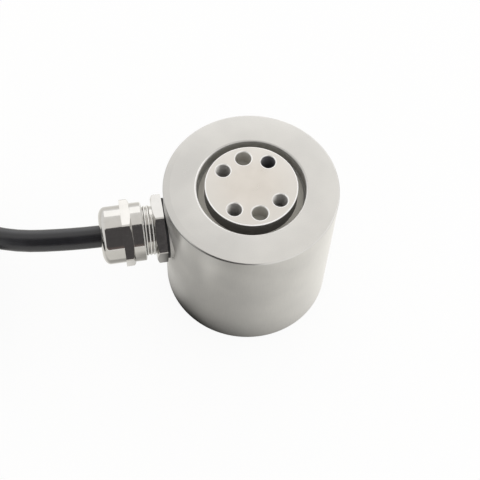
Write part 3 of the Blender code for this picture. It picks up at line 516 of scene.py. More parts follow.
def ground_steel(finish):
    rings, relief, radius, z = lathe_marks(finish, 0.03, 7.0, 0.0012 * MM)
    cloud = finish.noise(finish.place(), 0.14, 3.0)
    speck = finish.noise(finish.place(), 2.2, 4.0, 0.7)
    stain = finish.spread(speck, 0.68, 0.76, 0.0, 0.5)
    clouded = finish.spread(cloud, 0.35, 0.65)
    clean = finish.blend(clouded, rgb(0.700, 0.660, 0.610), rgb(0.740, 0.700, 0.650))
    clean = finish.blend(finish.spread(radius, 5, 12, 0.0, 0.8), clean, rgb(0.725, 0.703, 0.668))
    plain = finish.blend(stain, clean, rgb(0.55, 0.515, 0.475))
    rough = finish.spread(rings * 0.5 + cloud * 0.5, 0.3, 0.7, 0.26, 0.33)

    # Rims of platform and holes carry a painted highlight, stronger toward each hole's front, and the walls
    # below them are less shiny, some with painted shade
    x, y, _ = finish.parts(finish.place(turn=-ELEMENT_TURN))
    across, along = finish.size_of(x), finish.size_of(y)
    circle = LOAD_CIRCLE_RADIUS / MM
    corner = circle / math.sqrt(2)
    to_thread = ((across - corner) ** 2 + (along - corner) ** 2) ** 0.5
    to_dowel = (x * x + (along - circle) ** 2) ** 0.5
    from_middle = x - finish.sign_of(x) * corner
    thread_front = finish.sign_of(y) * corner - y + from_middle * 0.25
    dowel_front = finish.sign_of(y) * circle - y + x * 0.25
    rim_highlight_mask = finish.larger(
        finish.near(radius, 13.05, 0.17),
        finish.near(to_thread, 2.25, 0.19) * finish.spread(thread_front, -2.3, 1.2, 0.55, 1.0),
        finish.near(to_dowel, 2.47, 0.18) * finish.spread(dowel_front, -2.3, 1.2, 0.55, 1.0),
    )
    on_top = finish.above(z, PLATFORM_RIM_HEIGHT)
    rim = rim_highlight_mask * on_top
    below_rim = 1 - on_top
    side = finish.near(radius, 13.2, 0.1) * below_rim
    in_thread = (1 - finish.above(to_thread, 2.55)) * below_rim
    in_dowel = (1 - finish.above(to_dowel, 2.4)) * below_rim
    shoulder = finish.above(radius, 13.35) * finish.near(z, 41, 2.2)
    # The platform's side is painted dark as shade in the slit
    scored = finish.noise(finish.place((0.6, 0.6, 8.0)), 1.0, 3.0, 0.7)
    share = finish.spread(scored, 0.3, 0.7)
    side_shade_tone = finish.blend(share, rgb(0.11, 0.106, 0.100), rgb(0.187, 0.180, 0.172))
    # Threaded holes: painted light on the left flank, painted shade on the right, and the hole at +X +Y
    # painted dark as shade
    rightward = finish.spread(from_middle, -1.5, -0.2)
    flank_light_and_shade = finish.blend(rightward, rgb(1.0, 0.98, 0.95), rgb(0.36, 0.35, 0.34))
    shaded_hole = finish.above(x, 0) * finish.above(y, 0)
    flank_light_and_shade = finish.blend(shaded_hole * 0.9, flank_light_and_shade, rgb(0.10, 0.10, 0.115))
    wall_tone = finish.blend(shoulder, side_shade_tone, rgb(0.66, 0.64, 0.59))
    wall_tone = finish.blend(in_thread, wall_tone, flank_light_and_shade)
    wall_tone = finish.blend(in_dowel, wall_tone, rgb(0.58, 0.565, 0.53))
    bored = finish.larger(in_thread, in_dowel)
    wall = finish.larger(side, bored, shoulder)
    colour = finish.blend(rim, finish.blend(wall, plain, wall_tone), rgb(1.0, 0.995, 0.98))
    return {
        "Base Color": colour,
        "Roughness": finish.larger(rough, wall * 0.5, shoulder * 0.62, rim * 0.45),
        "Metallic": 1 - finish.larger(wall * 0.3, bored * 0.6, shoulder * 0.6, rim * 0.9),
        "Normal": relief,
    }


def nickel_plate(finish):
    cloud = finish.noise(finish.place(), 0.35, 3.0)
    scuff = finish.noise(finish.place((0.3, 1, 1)), 1.7, 4.0, 0.65)
    clouded = finish.spread(cloud, 0.35, 0.65)
    clean = finish.blend(clouded, rgb(0.585, 0.572, 0.548), rgb(0.625, 0.612, 0.588))
    rough = finish.spread(scuff, 0.35, 0.75, 0.07, 0.15)

    # Crests of the thread and the skirt's edge carry a painted highlight; the fixed hexagon is a little
    # greyer
    x, y, z = finish.parts(finish.place())
    along = 0 - x
    up = z - PORT_HEIGHT / MM
    radius = (y * y + up * up) ** 0.5
    crest = finish.near(along, 29.85, 1.45) * finish.above(radius, CREST_RADIUS / MM - 0.045)
    skirt_edge = finish.near(along, 31.45, 0.2) * finish.above(radius, 8.15)
    edge_highlight = finish.larger(crest, skirt_edge)
    greyer = (1 - finish.above(along, 28.4)) * 0.5
    plain = finish.blend(greyer, clean, rgb(0.47, 0.462, 0.45))
    return {
        "Base Color": finish.blend(edge_highlight, plain, rgb(0.93, 0.925, 0.90)),
        "Roughness": finish.larger(rough, edge_highlight * 0.4),
        "Metallic": 1 - edge_highlight * 0.6,
        "Normal": finish.bump(scuff, 0.002 * MM),
    }


def worn(finish, share, dark, light, rough, relief, depth, strength=1.0):
    """The links of a plain look: two colours by share, a roughness and a relief."""
    colour = finish.blend(share, rgb(*dark), rgb(*light))
    return {"Base Color": colour, "Roughness": rough, "Normal": finish.bump(relief, depth * MM, strength)}


def screw_steel(finish):
    grain = finish.noise(finish.place((1, 1, 4)), 2.5, 3.0)
    share = finish.spread(grain, 0.3, 0.7)
    rough = finish.spread(grain, 0.3, 0.7, 0.24, 0.36)
    return worn(finish, share, (0.40, 0.40, 0.40), (0.5, 0.5, 0.49), rough, grain, 0.004)


def rubber(name, dark, light, rough, shine=0.35):
    """A rubber or plastic surface between two colours and two roughnesses."""
    def varied(finish):
        grain = finish.noise(finish.place(), 6.0, 4.0, 0.6)
        dust = finish.noise(finish.place(), 0.4, 3.0)
        share = finish.spread(dust * 0.6 + grain * 0.4, 0.35, 0.68)
        return worn(finish, share, dark, light, finish.spread(dust, 0.3, 0.7, *rough), grain, 0.012)

    return surface(name, {"Specular IOR Level": shine}, varied)


def webbing(finish):
    """Hook-and-loop tape: fine crossed ribs under a fuzz of short loops."""
    ribs, cross = (
        finish.waves({"bands_direction": direction}, Scale=0.55, Distortion=0.6) for direction in "XZ"
    )
    fuzz = finish.noise(finish.place(), 5.0, 5.0, 0.7)
    weave = ribs * 0.35 + cross * 0.35 + fuzz * 0.5
    share = finish.spread(weave, 0.3, 0.9)
    rough = finish.spread(fuzz, 0.3, 0.7, 0.75, 0.95)
    return worn(finish, share, (0.008, 0.008, 0.009), (0.035, 0.035, 0.038), rough, weave, 0.15, 0.8)


def solder_mask(finish):
    """Green laminate with faint copper tracks under the mask."""
    rings = {"wave_type": "RINGS", "rings_direction": "Z"}
    line = finish.spread(finish.waves(rings, Scale=0.12, Distortion=1.5, Detail=1.0), 0.72, 0.8)
    grain = finish.noise(finish.place(), 3.0, 3.0)
    rough = finish.spread(grain, 0.3, 0.7, 0.3, 0.42)
    relief = line * 0.6 + grain * 0.4
    return worn(finish, line, (0.02, 0.13, 0.055), (0.045, 0.22, 0.09), rough, relief, 0.03)


def gauge_film(finish):
    """Amber film that carries a fine grid of foil."""
    line = finish.spread(finish.waves({"bands_direction": "DIAGONAL"}, Scale=1.4), 0.5, 0.6)
    blotch = finish.noise(finish.place(), 0.8, 2.0)
    film = finish.blend(blotch, rgb(0.42, 0.23, 0.04), rgb(0.56, 0.34, 0.08))
    return {
        "Base Color": finish.blend(line, film, rgb(0.62, 0.56, 0.42)),
        "Roughness": finish.spread(line, 0, 1, 0.22, 0.38),
        "Normal": finish.bump(line, 0.01 * MM),
    }


def strand_look(finish):
    """Tinned wires laid in a twist."""
    twist = finish.waves({"bands_direction": "DIAGONAL"}, Scale=0.9, Distortion=1.0)
    rough = finish.spread(twist, 0, 1, 0.4, 0.26)
    return worn(finish, twist, (0.34, 0.33, 0.31), (0.62, 0.61, 0.59), rough, twist, 0.05)


def insulation(word, *light):
    """The coloured cover of one core."""
    def varied(finish):
        cloud = finish.noise(finish.place(), 0.9, 3.0)
        dark = rgb(*(part * 0.85 for part in light))
        colour = finish.blend(finish.spread(cloud, 0.3, 0.7), dark, rgb(*light))
        return {"Base Color": colour, "Roughness": finish.spread(cloud, 0.3, 0.7, 0.3, 0.42)}

    return surface(f"{word} core insulation", {}, varied)


METAL = {"Metallic": 1.0}
LATHE_SHEEN = {"Anisotropic": 0.25, "Anisotropic Rotation": 0.25}
FABRIC_SHEEN = {"Sheen Weight": 0.25, "Sheen Roughness": 0.5}
# The seal in the slit is of paler rubber than the gland's own seal, in the same slot
SILICONE = rubber("grey silicone", (0.34, 0.335, 0.32), (0.44, 0.435, 0.42), (0.5, 0.65))
# One material for each slot of the record
FINISHES = {
    "stainless_steel": surface("fine turned stainless steel", {**METAL, **LATHE_SHEEN}, turned_steel),
    "element_steel": surface("ground element steel", METAL, ground_steel),
    "nickel_plate": surface("bright nickel plate", METAL, nickel_plate),
    "screw_steel": surface("plain stainless screw", METAL, screw_steel),
    "tinned_copper": surface("tinned strand", METAL, strand_look),
    "tie_fabric": surface("black hook-and-loop tape", FABRIC_SHEEN, webbing),
    "board_laminate": surface("green solder mask", {"Coat Weight": 0.3}, solder_mask),
    "gauge_foil": surface("foil gauge film", {}, gauge_film),
    "black_rubber": rubber(
        "black nitrile rubber", (0.010, 0.010, 0.011), (0.022, 0.022, 0.024), (0.55, 0.75)
    ),
    "grey_rubber": rubber("dark grey rubber", (0.16, 0.16, 0.16), (0.23, 0.23, 0.23), (0.6, 0.8)),
    "polyamide": rubber(
        "black polyamide", (0.045, 0.045, 0.05), (0.07, 0.07, 0.075), (0.4, 0.55), 0.5
    ),
    "cable_sheath": rubber(
        "black satin sheath", (0.008, 0.008, 0.0105), (0.013, 0.013, 0.017), (0.27, 0.36), 0.68
    ),
    "core_red": insulation("red", 0.45, 0.02, 0.02),
    "core_black": insulation("dark", 0.02, 0.02, 0.02),
    "core_green": insulation("green", 0.03, 0.25, 0.06),
    "core_white": insulation("pale", 0.75, 0.75, 0.72),
    "core_yellow": insulation("yellow", 0.65, 0.50, 0.04),
    "core_blue": insulation("blue", 0.03, 0.09, 0.42),
}


def dress_cad_nodes():
    """Every node that stays as the CAD made it gets its procedural finish."""
    for part in frame["record"]["subparts"]:
        materials = frame["nodes"][part["node"]].data.materials
        finish = FINISHES[part["material_slot"]]
        if not materials:
            materials.append(finish)
        for index in range(len(materials)):
            materials[index] = finish


# Repeats by Geometry Nodes


class Tree(Nodes):
    """A Geometry Nodes tree with named inputs, which makes a plain mesh for given sizes."""

    def __init__(self, name, sizes):
        super().__init__(bpy.data.node_groups.new(name, "GeometryNodeTree"))
        face = self.tree.interface
        self.keys = {}
        for size, kind in sizes.items():
            self.keys[size] = face.new_socket(size, in_out="INPUT", socket_type=kind).identifier
        face.new_socket("Geometry", in_out="OUTPUT", socket_type="NodeSocketGeometry")
        self.inputs = self.tree.nodes.new("NodeGroupInput")

    def size(self, name):
        return Value(self, self.inputs.outputs[name])

    def end_with(self, geometry):
        """Makes the instances real and sets the finish."""
        real = self.node("GeometryNodeRealizeInstances", {}, {"Geometry": geometry})
        inputs = {"Geometry": real, "Material": self.size("Finish")}
        out = self.tree.nodes.new("NodeGroupOutput")
        self.feed(out.inputs[0], self.node("GeometryNodeSetMaterial", {}, inputs))

    def made(self, name, values, axis=BODY_AXIS):
        """The mesh that the tree makes with these values, placed by axis."""
        carrier = linked(name, bpy.data.meshes.new(name))
        modifier = carrier.modifiers.new("tree", "NODES")
        modifier.node_group = self.tree
        for size, value in values.items():
            modifier[self.keys[size]] = value
        graph = bpy.context.evaluated_depsgraph_get()
        mesh = bpy.data.meshes.new_from_object(carrier.evaluated_get(graph))
        bpy.data.objects.remove(carrier)
        mesh.transform(axis)
        return mesh


def thread_tree():
    """One helical thread ridge: a profile swept along a spiral about Z, run out at both ends."""
    names = ("Root Radius", "Crest Height", "Crest Share", "Pitch", "Turns")
    tree = Tree("thread ridge", {**dict.fromkeys(names, "NodeSocketFloat"), "Finish": "NodeSocketMaterial"})
    root, height, share, pitch, turns = (tree.size(name) for name in names)
    sizes = {"Rotations": turns, "Start Radius": root, "End Radius": root, "Height": pitch * turns}
    spiral = tree.node("GeometryNodeCurveSpiral", {}, {"Resolution": THREAD_STEPS, **sizes})
    upright = tree.node("GeometryNodeSetCurveNormal", {"mode": "Z_UP"}, {"Curve": spiral})

    along = tree.node("GeometryNodeSplineParameter", output="Factor")
    to_end = tree.maths("MINIMUM", along, 1.0 - along)
    fade = tree.maths("MINIMUM", to_end * (turns * 2.0), 1.0)
    inputs = {"Curve": upright, "Radius": tree.maths("MAXIMUM", fade, 0.02)}
    faded = tree.node("GeometryNodeSetCurveRadius", {}, inputs)

    foot, crest, inward = pitch * 0.485, pitch * share, height * -1.0
    corners = {}
    for side, reach, lift in ((-1, foot, 0), (-1, crest, inward), (1, crest, inward), (1, foot, 0)):
        corner = tree.node("ShaderNodeCombineXYZ", {}, {"X": lift, "Y": reach * side})
        corners[f"Point {len(corners) + 1}"] = corner
    profile = tree.node("GeometryNodeCurvePrimitiveQuadrilateral", {"mode": "POINTS"}, corners)
    inputs = {"Curve": faded, "Profile Curve": profile, "Fill Caps": True}
    tree.end_with(tree.node("GeometryNodeCurveToMesh", {}, inputs))
    return tree


THREADS = thread_tree()


# Camera, light and floor


# The camera as fitted to the outlines in the photo, in metres, millimetres and degrees
CAMERA_PLACE = (-0.0379555, -0.1568893, 0.2978800)
CAMERA_TURNS = (29.805867, -1.695611, -9.816339)
CAMERA_LENS = 79.398
# Where both lights point
LIT_PLACE = Vector((0, 0, 0.03))


def set_camera():
    camera = bpy.data.cameras.new("photo camera")
    camera.sensor_width = 36.0
    camera.lens = CAMERA_LENS
    camera.clip_start = 0.01
    camera.clip_end = 20.0
    holder = linked("photo camera", camera)
    holder.location = CAMERA_PLACE
    holder.rotation_euler = [math.radians(turn) for turn in CAMERA_TURNS]
    bpy.context.scene.camera = holder


def softbox(name, place, size, radiance):
    light = bpy.data.lights.new(name, "AREA")
    light.shape = "RECTANGLE"
    light.size, light.size_y = size
    light.energy = radiance * 4 * size[0] * size[1]
    holder = linked(name, light)
    holder.location = place
    toward = LIT_PLACE - Vector(place)
    holder.rotation_euler = toward.to_track_quat("-Z", "Y").to_euler()
    holder.visible_camera = False


def card(name, mesh, material, colour):
    """A glowing piece of the stage that shows in reflections only, its colour made by colour(finish)."""
    block = bpy.data.materials.new(material)
    finish = Finish(block)
    shine = finish.node("ShaderNodeEmission", {}, {"Color": colour(finish), "Strength": 1.0})
    finish.feed(finish.tree.nodes["Material Output"].inputs["Surface"], shine)
    mesh.materials.append(block)
    piece = linked(name, mesh)
    piece.visible_camera = False
    piece.visible_diffuse = False
    piece.visible_shadow = False
    piece.visible_transmission = False


def arch_shade(finish):
    height = finish.parts(finish.place())[2]
    return finish.blend(finish.spread(height, 33, 70), rgb(0.19, 0.145, 0.13), rgb(0.086, 0.081, 0.083))


def stand_dark_arch():
    """A dark card bent round the front of gland and cable, which the polished plating mirrors."""
    radius, low, high, steps = 170 * MM, 0.6, 86.6, 24
    ends = (-230 * MM, -8 * MM)
    bm = bmesh.new()
    rows = []
    for step in range(steps + 1):
        lift = math.radians(low + (high - low) * step / steps)
        y, z = -radius * math.cos(lift), PORT_HEIGHT + radius * math.sin(lift)
        rows.append([bm.verts.new((x, y, z)) for x in ends])
    for below, over in zip(rows, rows[1:]):
        bm.faces.new((*below, *over[::-1]))
    card("dark_arch", plain_mesh("dark_arch", bm), "dark room", arch_shade)


def toward_side(x, y, side):
    return x * math.cos(side) + y * math.sin(side)


def table_shade(finish):
    """Shaded on the side away from the window, and at the body's foot."""
    x, y, _ = finish.parts(finish.place())
    radius = finish.larger((x * x + y * y) ** 0.5, 1.0)
    toward = toward_side(x, y, WINDOW_SIDE) / radius
    left = finish.clamped(toward_side(x, y, PALE_SIDE) / radius)
    footward = toward_side(x, y, FOOT_SIDE) / radius
    under_gland = finish.spread(x, -24, -27) * finish.spread(finish.size_of(y), 9, 16, 1.0, 0.0)
    close = finish.spread(radius, 50, 95, 1.0, 0.0)
    foot = finish.spread(radius, 25, 34, 1.0, 0.0)
    far = finish.spread(radius, 300, 480, 0.86, 1.0)
    kept_dark = finish.spread(finish.size_of(y + 18), 7, 14)
    beside_gland = finish.spread(x, -32, -38, 0.0, 0.9) * kept_dark
    near = toward * 0.39 + left * left * 0.24 + 0.82
    near = near + beside_gland * (0.90 - near)
    tone = far + close * (near - far) - foot * foot * (1 - under_gland) * (0.22 - footward * 0.30)
    return finish.node("ShaderNodeCombineColor", {}, {0: tone, 1: tone * 0.985, 2: tone * 0.945})


def lay_table_tone():
    """The table as the metal mirrors it: a glowing disc seen in reflections only, with painted shade."""
    bm = bmesh.new()
    bmesh.ops.create_circle(bm, cap_ends=True, segments=64, radius=0.5)
    mesh = plain_mesh("table_tone", bm)
    mesh.transform(Matrix.Translation((0, 0, 0.03 * MM)))
    card("table_tone", mesh, "table tone", table_shade)


def set_world():
    """A white room that greys a little toward its ceiling."""
    world = bpy.data.worlds.new("studio")
    bpy.context.scene.world = world
    sky = Finish(world)
    where = sky.node("ShaderNodeTexCoord", output="Generated")
    height = sky.node("ShaderNodeSeparateXYZ", {}, {0: where}, "Z")
    shade = sky.node("ShaderNodeValToRGB", {}, {"Fac": height})
    ramp = shade.socket.node.color_ramp
    ramp.elements.new(1.0)
    stops = ((0.0, rgb(1.0, 1.0, 1.0)), (0.5, rgb(1.0, 0.995, 0.985)), (1.0, rgb(0.93, 0.91, 0.88)))
    for element, (position, colour) in zip(ramp.elements, stops):
        element.position = position
        element.color = colour
    sky.feed(sky.tree.nodes["Background"].inputs["Color"], shade)


def set_floor():
    """A plain pale floor, which the camera and the metal see as an even white sweep."""
    bm = bmesh.new()
    bmesh.ops.create_grid(bm, x_segments=1, y_segments=1, size=3.0)
    mesh = plain_mesh("studio floor", bm)
    block = bpy.data.materials.new("white sweep")
    paper = Finish(block)
    shader = paper.tree.nodes["Principled BSDF"]
    shader.inputs["Roughness"].default_value = 0.9
    shader.inputs["Specular IOR Level"].default_value = 0.1
    grain = paper.noise(paper.place(), 0.02, 2.0)
    tone = paper.blend(grain, rgb(0.90, 0.90, 0.895), rgb(0.93, 0.93, 0.925))
    paper.feed(shader.inputs["Base Color"], tone)
    path = paper.node("ShaderNodeLightPath", output="Is Camera Ray")
    seen = paper.clamped(path + path.of("Is Glossy Ray") + path.of("Is Transmission Ray"))
    shine = paper.node("ShaderNodeEmission", {}, {"Color": rgb(1, 1, 1), "Strength": 1.0})
    inputs = {0: seen * 0.9, 1: Value(paper, shader.outputs[0]), 2: shine}
    mixed = paper.node("ShaderNodeMixShader", {}, inputs)
    paper.feed(paper.tree.nodes["Material Output"].inputs["Surface"], mixed)
    mesh.materials.append(block)
    linked("studio_floor", mesh)


bpy.context.scene.view_settings.view_transform = "Standard"
set_camera()
set_world()
set_floor()
softbox("window behind", (0.40, 1.23, 0.63), (1.7, 0.97), 0.45)
softbox("side window", (1.2, 0.05, 0.65), (0.7, 0.8), 0.3)
stand_dark_arch()
lay_table_tone()


# Cable


# The route of part.py out of the gland, in millimetres. Past the gland its points are up to 1.3 mm
# nearer to where the photo shows the cable
RUN = (
    (-16.3, 0.0, 30.7),
    (-30.0, 0.0, 30.7),
    (-44.2, 0.0, 30.7),
    (-51.0, 0.35, 30.6),
    (-58.0, 1.15, 30.2),
    (-66.0, 2.5, 29.4),
    (-73.0, 5.0, 28.5),
    (-78.0, 7.8, 27.7),
)
# The last stretch on to the hank's top turn, and the tail that leaves its lowest turn
ON_TO_HANK = (
    (-84.5, 11.9, 26.6),
    (-94.0, 16.8, 25.2),
    (-104.0, 21.2, 24.3),
    (-115.0, 24.8, 23.85),
)
TAIL = (
    (-174.0, -19.2, 4.0),
    (-167.0, -17.2, 3.6),
    (-160.0, -14.9, 3.4),
    (-153.0, -12.9, 3.3),
    (-146.0, -11.1, 3.3),
    (-139.0, -9.7, 3.3),
    (-132.0, -8.7, 3.3),
    (-125.0, -8.2, 3.3),
)
NEAR_FOLD = -112.75
FAR_FOLD = -180.75
LIFT = 1.0
TURN_DIAMETER = 6.5
INNER_RADIUS = 20.0
OUTER_RADIUS = 26.5
# Column and layer of each of the seven turns, top outside first
SLOTS = ((1, 4), (1, 3), (0, 3), (0, 2), (1, 2), (1, 1), (0, 1))
SHIFT_LENGTH = 30.0
SHIFT_STEP = 7.6
# Where the first turn starts past the near fold, and how closely its points lie
FIRST_START = 14.0
OUT_STEP = 6.0
BACK_STEP = 4.0
FOLD_STEPS = 16


def slot_at(turn, along):
    """Column radius and height of one turn, a distance along its returning run."""
    def numbers(index):
        column, layer = SLOTS[index]
        return INNER_RADIUS + column * TURN_DIAMETER, LIFT + (layer - 0.5) * TURN_DIAMETER

    here = numbers(turn)
    if turn == len(SLOTS) - 1:
        return here
    start = (len(SLOTS) - 2 - turn) * SHIFT_STEP
    share = min(1.0, max(0.0, (along - start) / SHIFT_LENGTH))
    share = (1 - math.cos(math.pi * share)) / 2
    there = numbers(turn + 1)
    return tuple(a + (b - a) * share for a, b in zip(here, there))


def fold(middle, radius, height, start):
    """Half a circle of one turn about the fold's middle."""
    angles = (start + math.pi * step / FOLD_STEPS for step in range(FOLD_STEPS))
    return [(middle + radius * math.cos(angle), radius * math.sin(angle), height) for angle in angles]


def hank_route():
    """Points of the wound turns in millimetres, from the top run to the last one below."""
    straight = NEAR_FOLD - FAR_FOLD
    points = []
    for turn in range(len(SLOTS)):
        radius, height = slot_at(turn, 0.0)
        distance = FIRST_START if turn == 0 else 0.0
        while distance < straight:
            points.append((NEAR_FOLD - distance, radius, height))
            distance += OUT_STEP
        points += fold(FAR_FOLD, radius, height, math.pi / 2)
        if turn == len(SLOTS) - 1:
            break
        distance = 0.0
        while distance < straight:
            radius, height = slot_at(turn, distance)
            points.append((FAR_FOLD + distance, -radius, height))
            distance += BACK_STEP
        radius, height = slot_at(turn, straight)
        points += fold(NEAR_FOLD, radius, height, -math.pi / 2)
    return points


def cable_route():
    """Every point of the cable in metres, evenly spaced."""
    rough = smooth_route([*RUN, *ON_TO_HANK, *hank_route(), *TAIL], 2.0 * MM)
    even = evenly_spaced(rough, 3.0 * MM)
    return evenly_spaced(softened(even, 4), 4.0 * MM)


def lay_cable():
    """The sheath, from inside the gland to its cut end."""
    route = cable_route()
    length = sum((b - a).length for a, b in zip(route, route[1:]))
    print(f"cable length {length:.4f} m in {len(route)} points")
    cable = tube_curve("cable", route, CABLE_DIAMETER, FINISHES["cable_sheath"], 8)
    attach(cable, "root")
    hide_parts("cable_run", "cable_hank", "cable_tail")
    return cable


def bare_cores():
    """Six insulated cores that fan out of the sheath's end and lie down, with tinned tips."""
    sheath_end, middle_y, middle_z = TAIL[-1]
    core_diameter, strand_diameter, bare_length = 1.3 * MM, 0.8 * MM, 5 * MM
    lying, spacing = 0.7, 2.2
    tips = bmesh.new()
    pieces = []
    colours = sorted(slot for slot in FINISHES if slot.startswith("core_"))
    for index, rank in enumerate((5, 3, 0, 1, 2, 4)):
        angle = math.radians(30 + 60 * index)
        y = middle_y + 1.5 * math.cos(angle)
        z = middle_z + 1.5 * math.sin(angle)
        side = middle_y + (rank - 2.5) * spacing
        reach = sheath_end + 19.5 + 1.2 * math.sin(2.3 * index)
        points = [
            (sheath_end - 4, y, z),
            (sheath_end, y, z),
            (sheath_end + 3.5, y + (side - y) * 0.15, lying + (z - lying) * 0.8),
            (sheath_end + 7.5, y + (side - y) * 0.55, lying + (z - lying) * 0.25),
            (sheath_end + 11.5, y + (side - y) * 0.9, lying),
            (reach - 4, side, lying),
            (reach, side + 0.3 * math.cos(3.1 * index), lying),
        ]
        route = smooth_route(points, 0.8 * MM)
        stripped = max(i for i, point in enumerate(route) if (point - route[-1]).length > bare_length)
        colour = colours[index]
        name = colour.replace("core", "lead")
        core = tube_curve(name, route[: stripped + 1], core_diameter, FINISHES[colour], 3)
        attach(core, "root")
        pieces.append(core)
        tip = tube_curve("tip", route[stripped - 1 :], strand_diameter, FINISHES["tinned_copper"], 3)
        mesh = bpy.data.meshes.new_from_object(tip)
        tips.from_mesh(mesh)
        bpy.data.objects.remove(tip)
        bpy.data.meshes.remove(mesh)
    ends = put_in_scene("tinned_tips", mesh_of("tips", tips), "tinned_copper")
    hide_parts("cable_leads")
    return [*pieces, ends]


def tie_band(side, middle, half, low, high, bottom, top):
    """A soft band round one side of the hank, with an overlapped end on top."""
    corner, quarter_steps = 3.2, 8
    loop = []
    for quarter, (y, z) in enumerate(((high, top), (low, top), (low, bottom), (high, bottom))):
        y += corner if y == low else -corner
        z += corner if z == bottom else -corner
        for step in range(quarter_steps + 1):
            angle = quarter * math.pi / 2 + math.pi / 2 * step / quarter_steps
            loop.append((y, z, *on_circle(1.0, angle)))
    inner, shoulder, outer, ease = 0.1, 0.65, 0.8, 0.25
    section = (
        (-half, inner),
        (-half, shoulder),
        (-half + ease, outer),
        (half - ease, outer),
        (half, shoulder),
        (half, inner),
    )
    bm = bmesh.new()
    rings = []
    for y, z, out_y, out_z in loop:
        ring = []
        for x, lift in section:
            reach = corner + lift
            place = (middle + x, side * (y + out_y * reach), z + out_z * reach)
            ring.append(bm.verts.new(tuple(part * MM for part in place)))
        rings.append(ring)
    for ring, after in zip(rings, rings[1:] + rings[:1]):
        for step in range(len(section)):
            following = (step + 1) % len(section)
            bm.faces.new((ring[step], ring[following], after[following], after[step]))

    ends = sorted((side * (low + corner + 0.4), side * (high - corner + 0.7)))
    tab = bmesh.new()
    lower, upper = (middle - half + 0.2, ends[0], top + 0.7), (middle + half - 0.2, ends[1], top + 1.45)
    box(tuple(part * MM for part in lower), tuple(part * MM for part in upper), tab)
    bmesh.ops.bevel(tab, geom=tab.edges, offset=0.2 * MM, segments=3, affect="EDGES", profile=0.5)
    overlap = mesh_of("tie end", tab)
    bm.from_mesh(overlap)
    bpy.data.meshes.remove(overlap)
    return mesh_of("tie", bm)


def wrap_ties():
    """Two tapes round the hank's sides."""
    middle, half, skin = (NEAR_FOLD + FAR_FOLD) / 2, 4.5, 3.25
    low, high = INNER_RADIUS - skin, OUTER_RADIUS + skin
    bottom, top = LIFT - 0.1, LIFT + 4 * TURN_DIAMETER
    pieces = []
    for index, side in enumerate((1, -1)):
        mesh = tie_band(side, middle, half, low, high, bottom, top)
        piece = put_in_scene(f"tape_tie_{index + 1}", mesh, "tie_fabric")
        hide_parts(f"cable_tie_{index + 1}")
        pieces.append(piece)
    return pieces


dress_cad_nodes()
cable = lay_cable()
ties = wrap_ties()
leads = bare_cores()


# Steel body


def blind_hole(radius, depth, mouth, steps=HOLE_STEPS):
    """A turned cutter for a flat-bottomed hole that opens upwards at height 0, with a softened chamfer."""
    rows = [(radius, -depth), (radius, radius - mouth), (mouth, 0), (mouth, OVERCUT)]
    return turned([(0, -depth), *eased(rows, HOLE_EASE, closed=False), (0, OVERCUT)], steps, closed=False)


def tapped_hole(depth):
    """The same with a drilled point, at the thread's full diameter below a short plain lead."""
    rows = [
        (THREAD_MAJOR, -depth),
        (THREAD_MAJOR, -THREAD_LEAD - THREAD_MAJOR + THREAD_MINOR),
        (THREAD_MINOR, -THREAD_LEAD),
        (THREAD_MINOR, THREAD_MINOR - THREAD_MOUTH),
        (THREAD_MOUTH, 0),
        (THREAD_MOUTH, OVERCUT),
    ]
    point = (0, -depth - THREAD_MAJOR / math.tan(DRILL_POINT))
    return turned([point, *eased(rows, HOLE_EASE, closed=False), (0, OVERCUT)], HOLE_STEPS, closed=False)


def hole_row(radius, count, start, height, make, upside_down=False):
    """One cutter of equal holes on a circle."""
    bm = bmesh.new()
    flip = Matrix.Rotation(math.pi, 4, "X") if upside_down else BODY_AXIS
    for angle in around(count, start):
        mesh = plain_mesh("hole", make())
        place = Matrix.Translation((*on_circle(radius, angle), height))
        added(bm, lambda target: target.from_mesh(mesh), flip, place, ELEMENT_AXIS)
        bpy.data.meshes.remove(mesh)
    return bm


def make_housing():
    """The turned can with its ring on top, the port's flat and the taps for the base screws."""
    bore = RING_BORE_RADIUS
    land = BODY_HEIGHT - LIP_LAND
    edge, foot = 0.3 * MM, 0.12 * MM
    outline = [
        (POCKET_RADIUS, foot),
        (BODY_RADIUS - edge, foot),
        (BODY_RADIUS, foot + edge),
        (BODY_RADIUS, BODY_HEIGHT - edge),
        (BODY_RADIUS - edge, BODY_HEIGHT),
        (bore + edge, BODY_HEIGHT),
        (bore, BODY_HEIGHT - edge),
        (bore, land),
        (bore + LIP_RELIEF, land - LIP_RELIEF),
        (bore + LIP_RELIEF, BODY_HEIGHT - LIP_DEPTH),
        (CAVITY_RADIUS, BODY_HEIGHT - LIP_DEPTH),
        (CAVITY_RADIUS, POCKET_DEPTH),
        (POCKET_RADIUS, POCKET_DEPTH),
    ]
    base = mesh_of("housing", turned(eased(outline, BODY_EASE)))
    inside, port_radius, outside = 12 * MM, 8.3 * MM, 50 * MM
    rows = [
        (0, inside),
        (port_radius, inside),
        (port_radius, PORT_FACE),
        (PORT_FACE_RADIUS, PORT_FACE),
        (PORT_FACE_RADIUS, outside),
        (0, outside),
    ]
    port = turned(rows, 96, closed=False)
    bmesh.ops.transform(port, matrix=GLAND_AXIS, verts=port.verts, space=BODY_AXIS)
    taps = hole_row(BASE_SCREW_CIRCLE, 8, math.pi / 8, POCKET_DEPTH, screw_tap, True)
    mesh = combined("housing", base, [("DIFFERENCE", port), ("DIFFERENCE", taps)])
    piece = put_in_scene("housing_shell", mesh, "stainless_steel")
    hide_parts("housing")


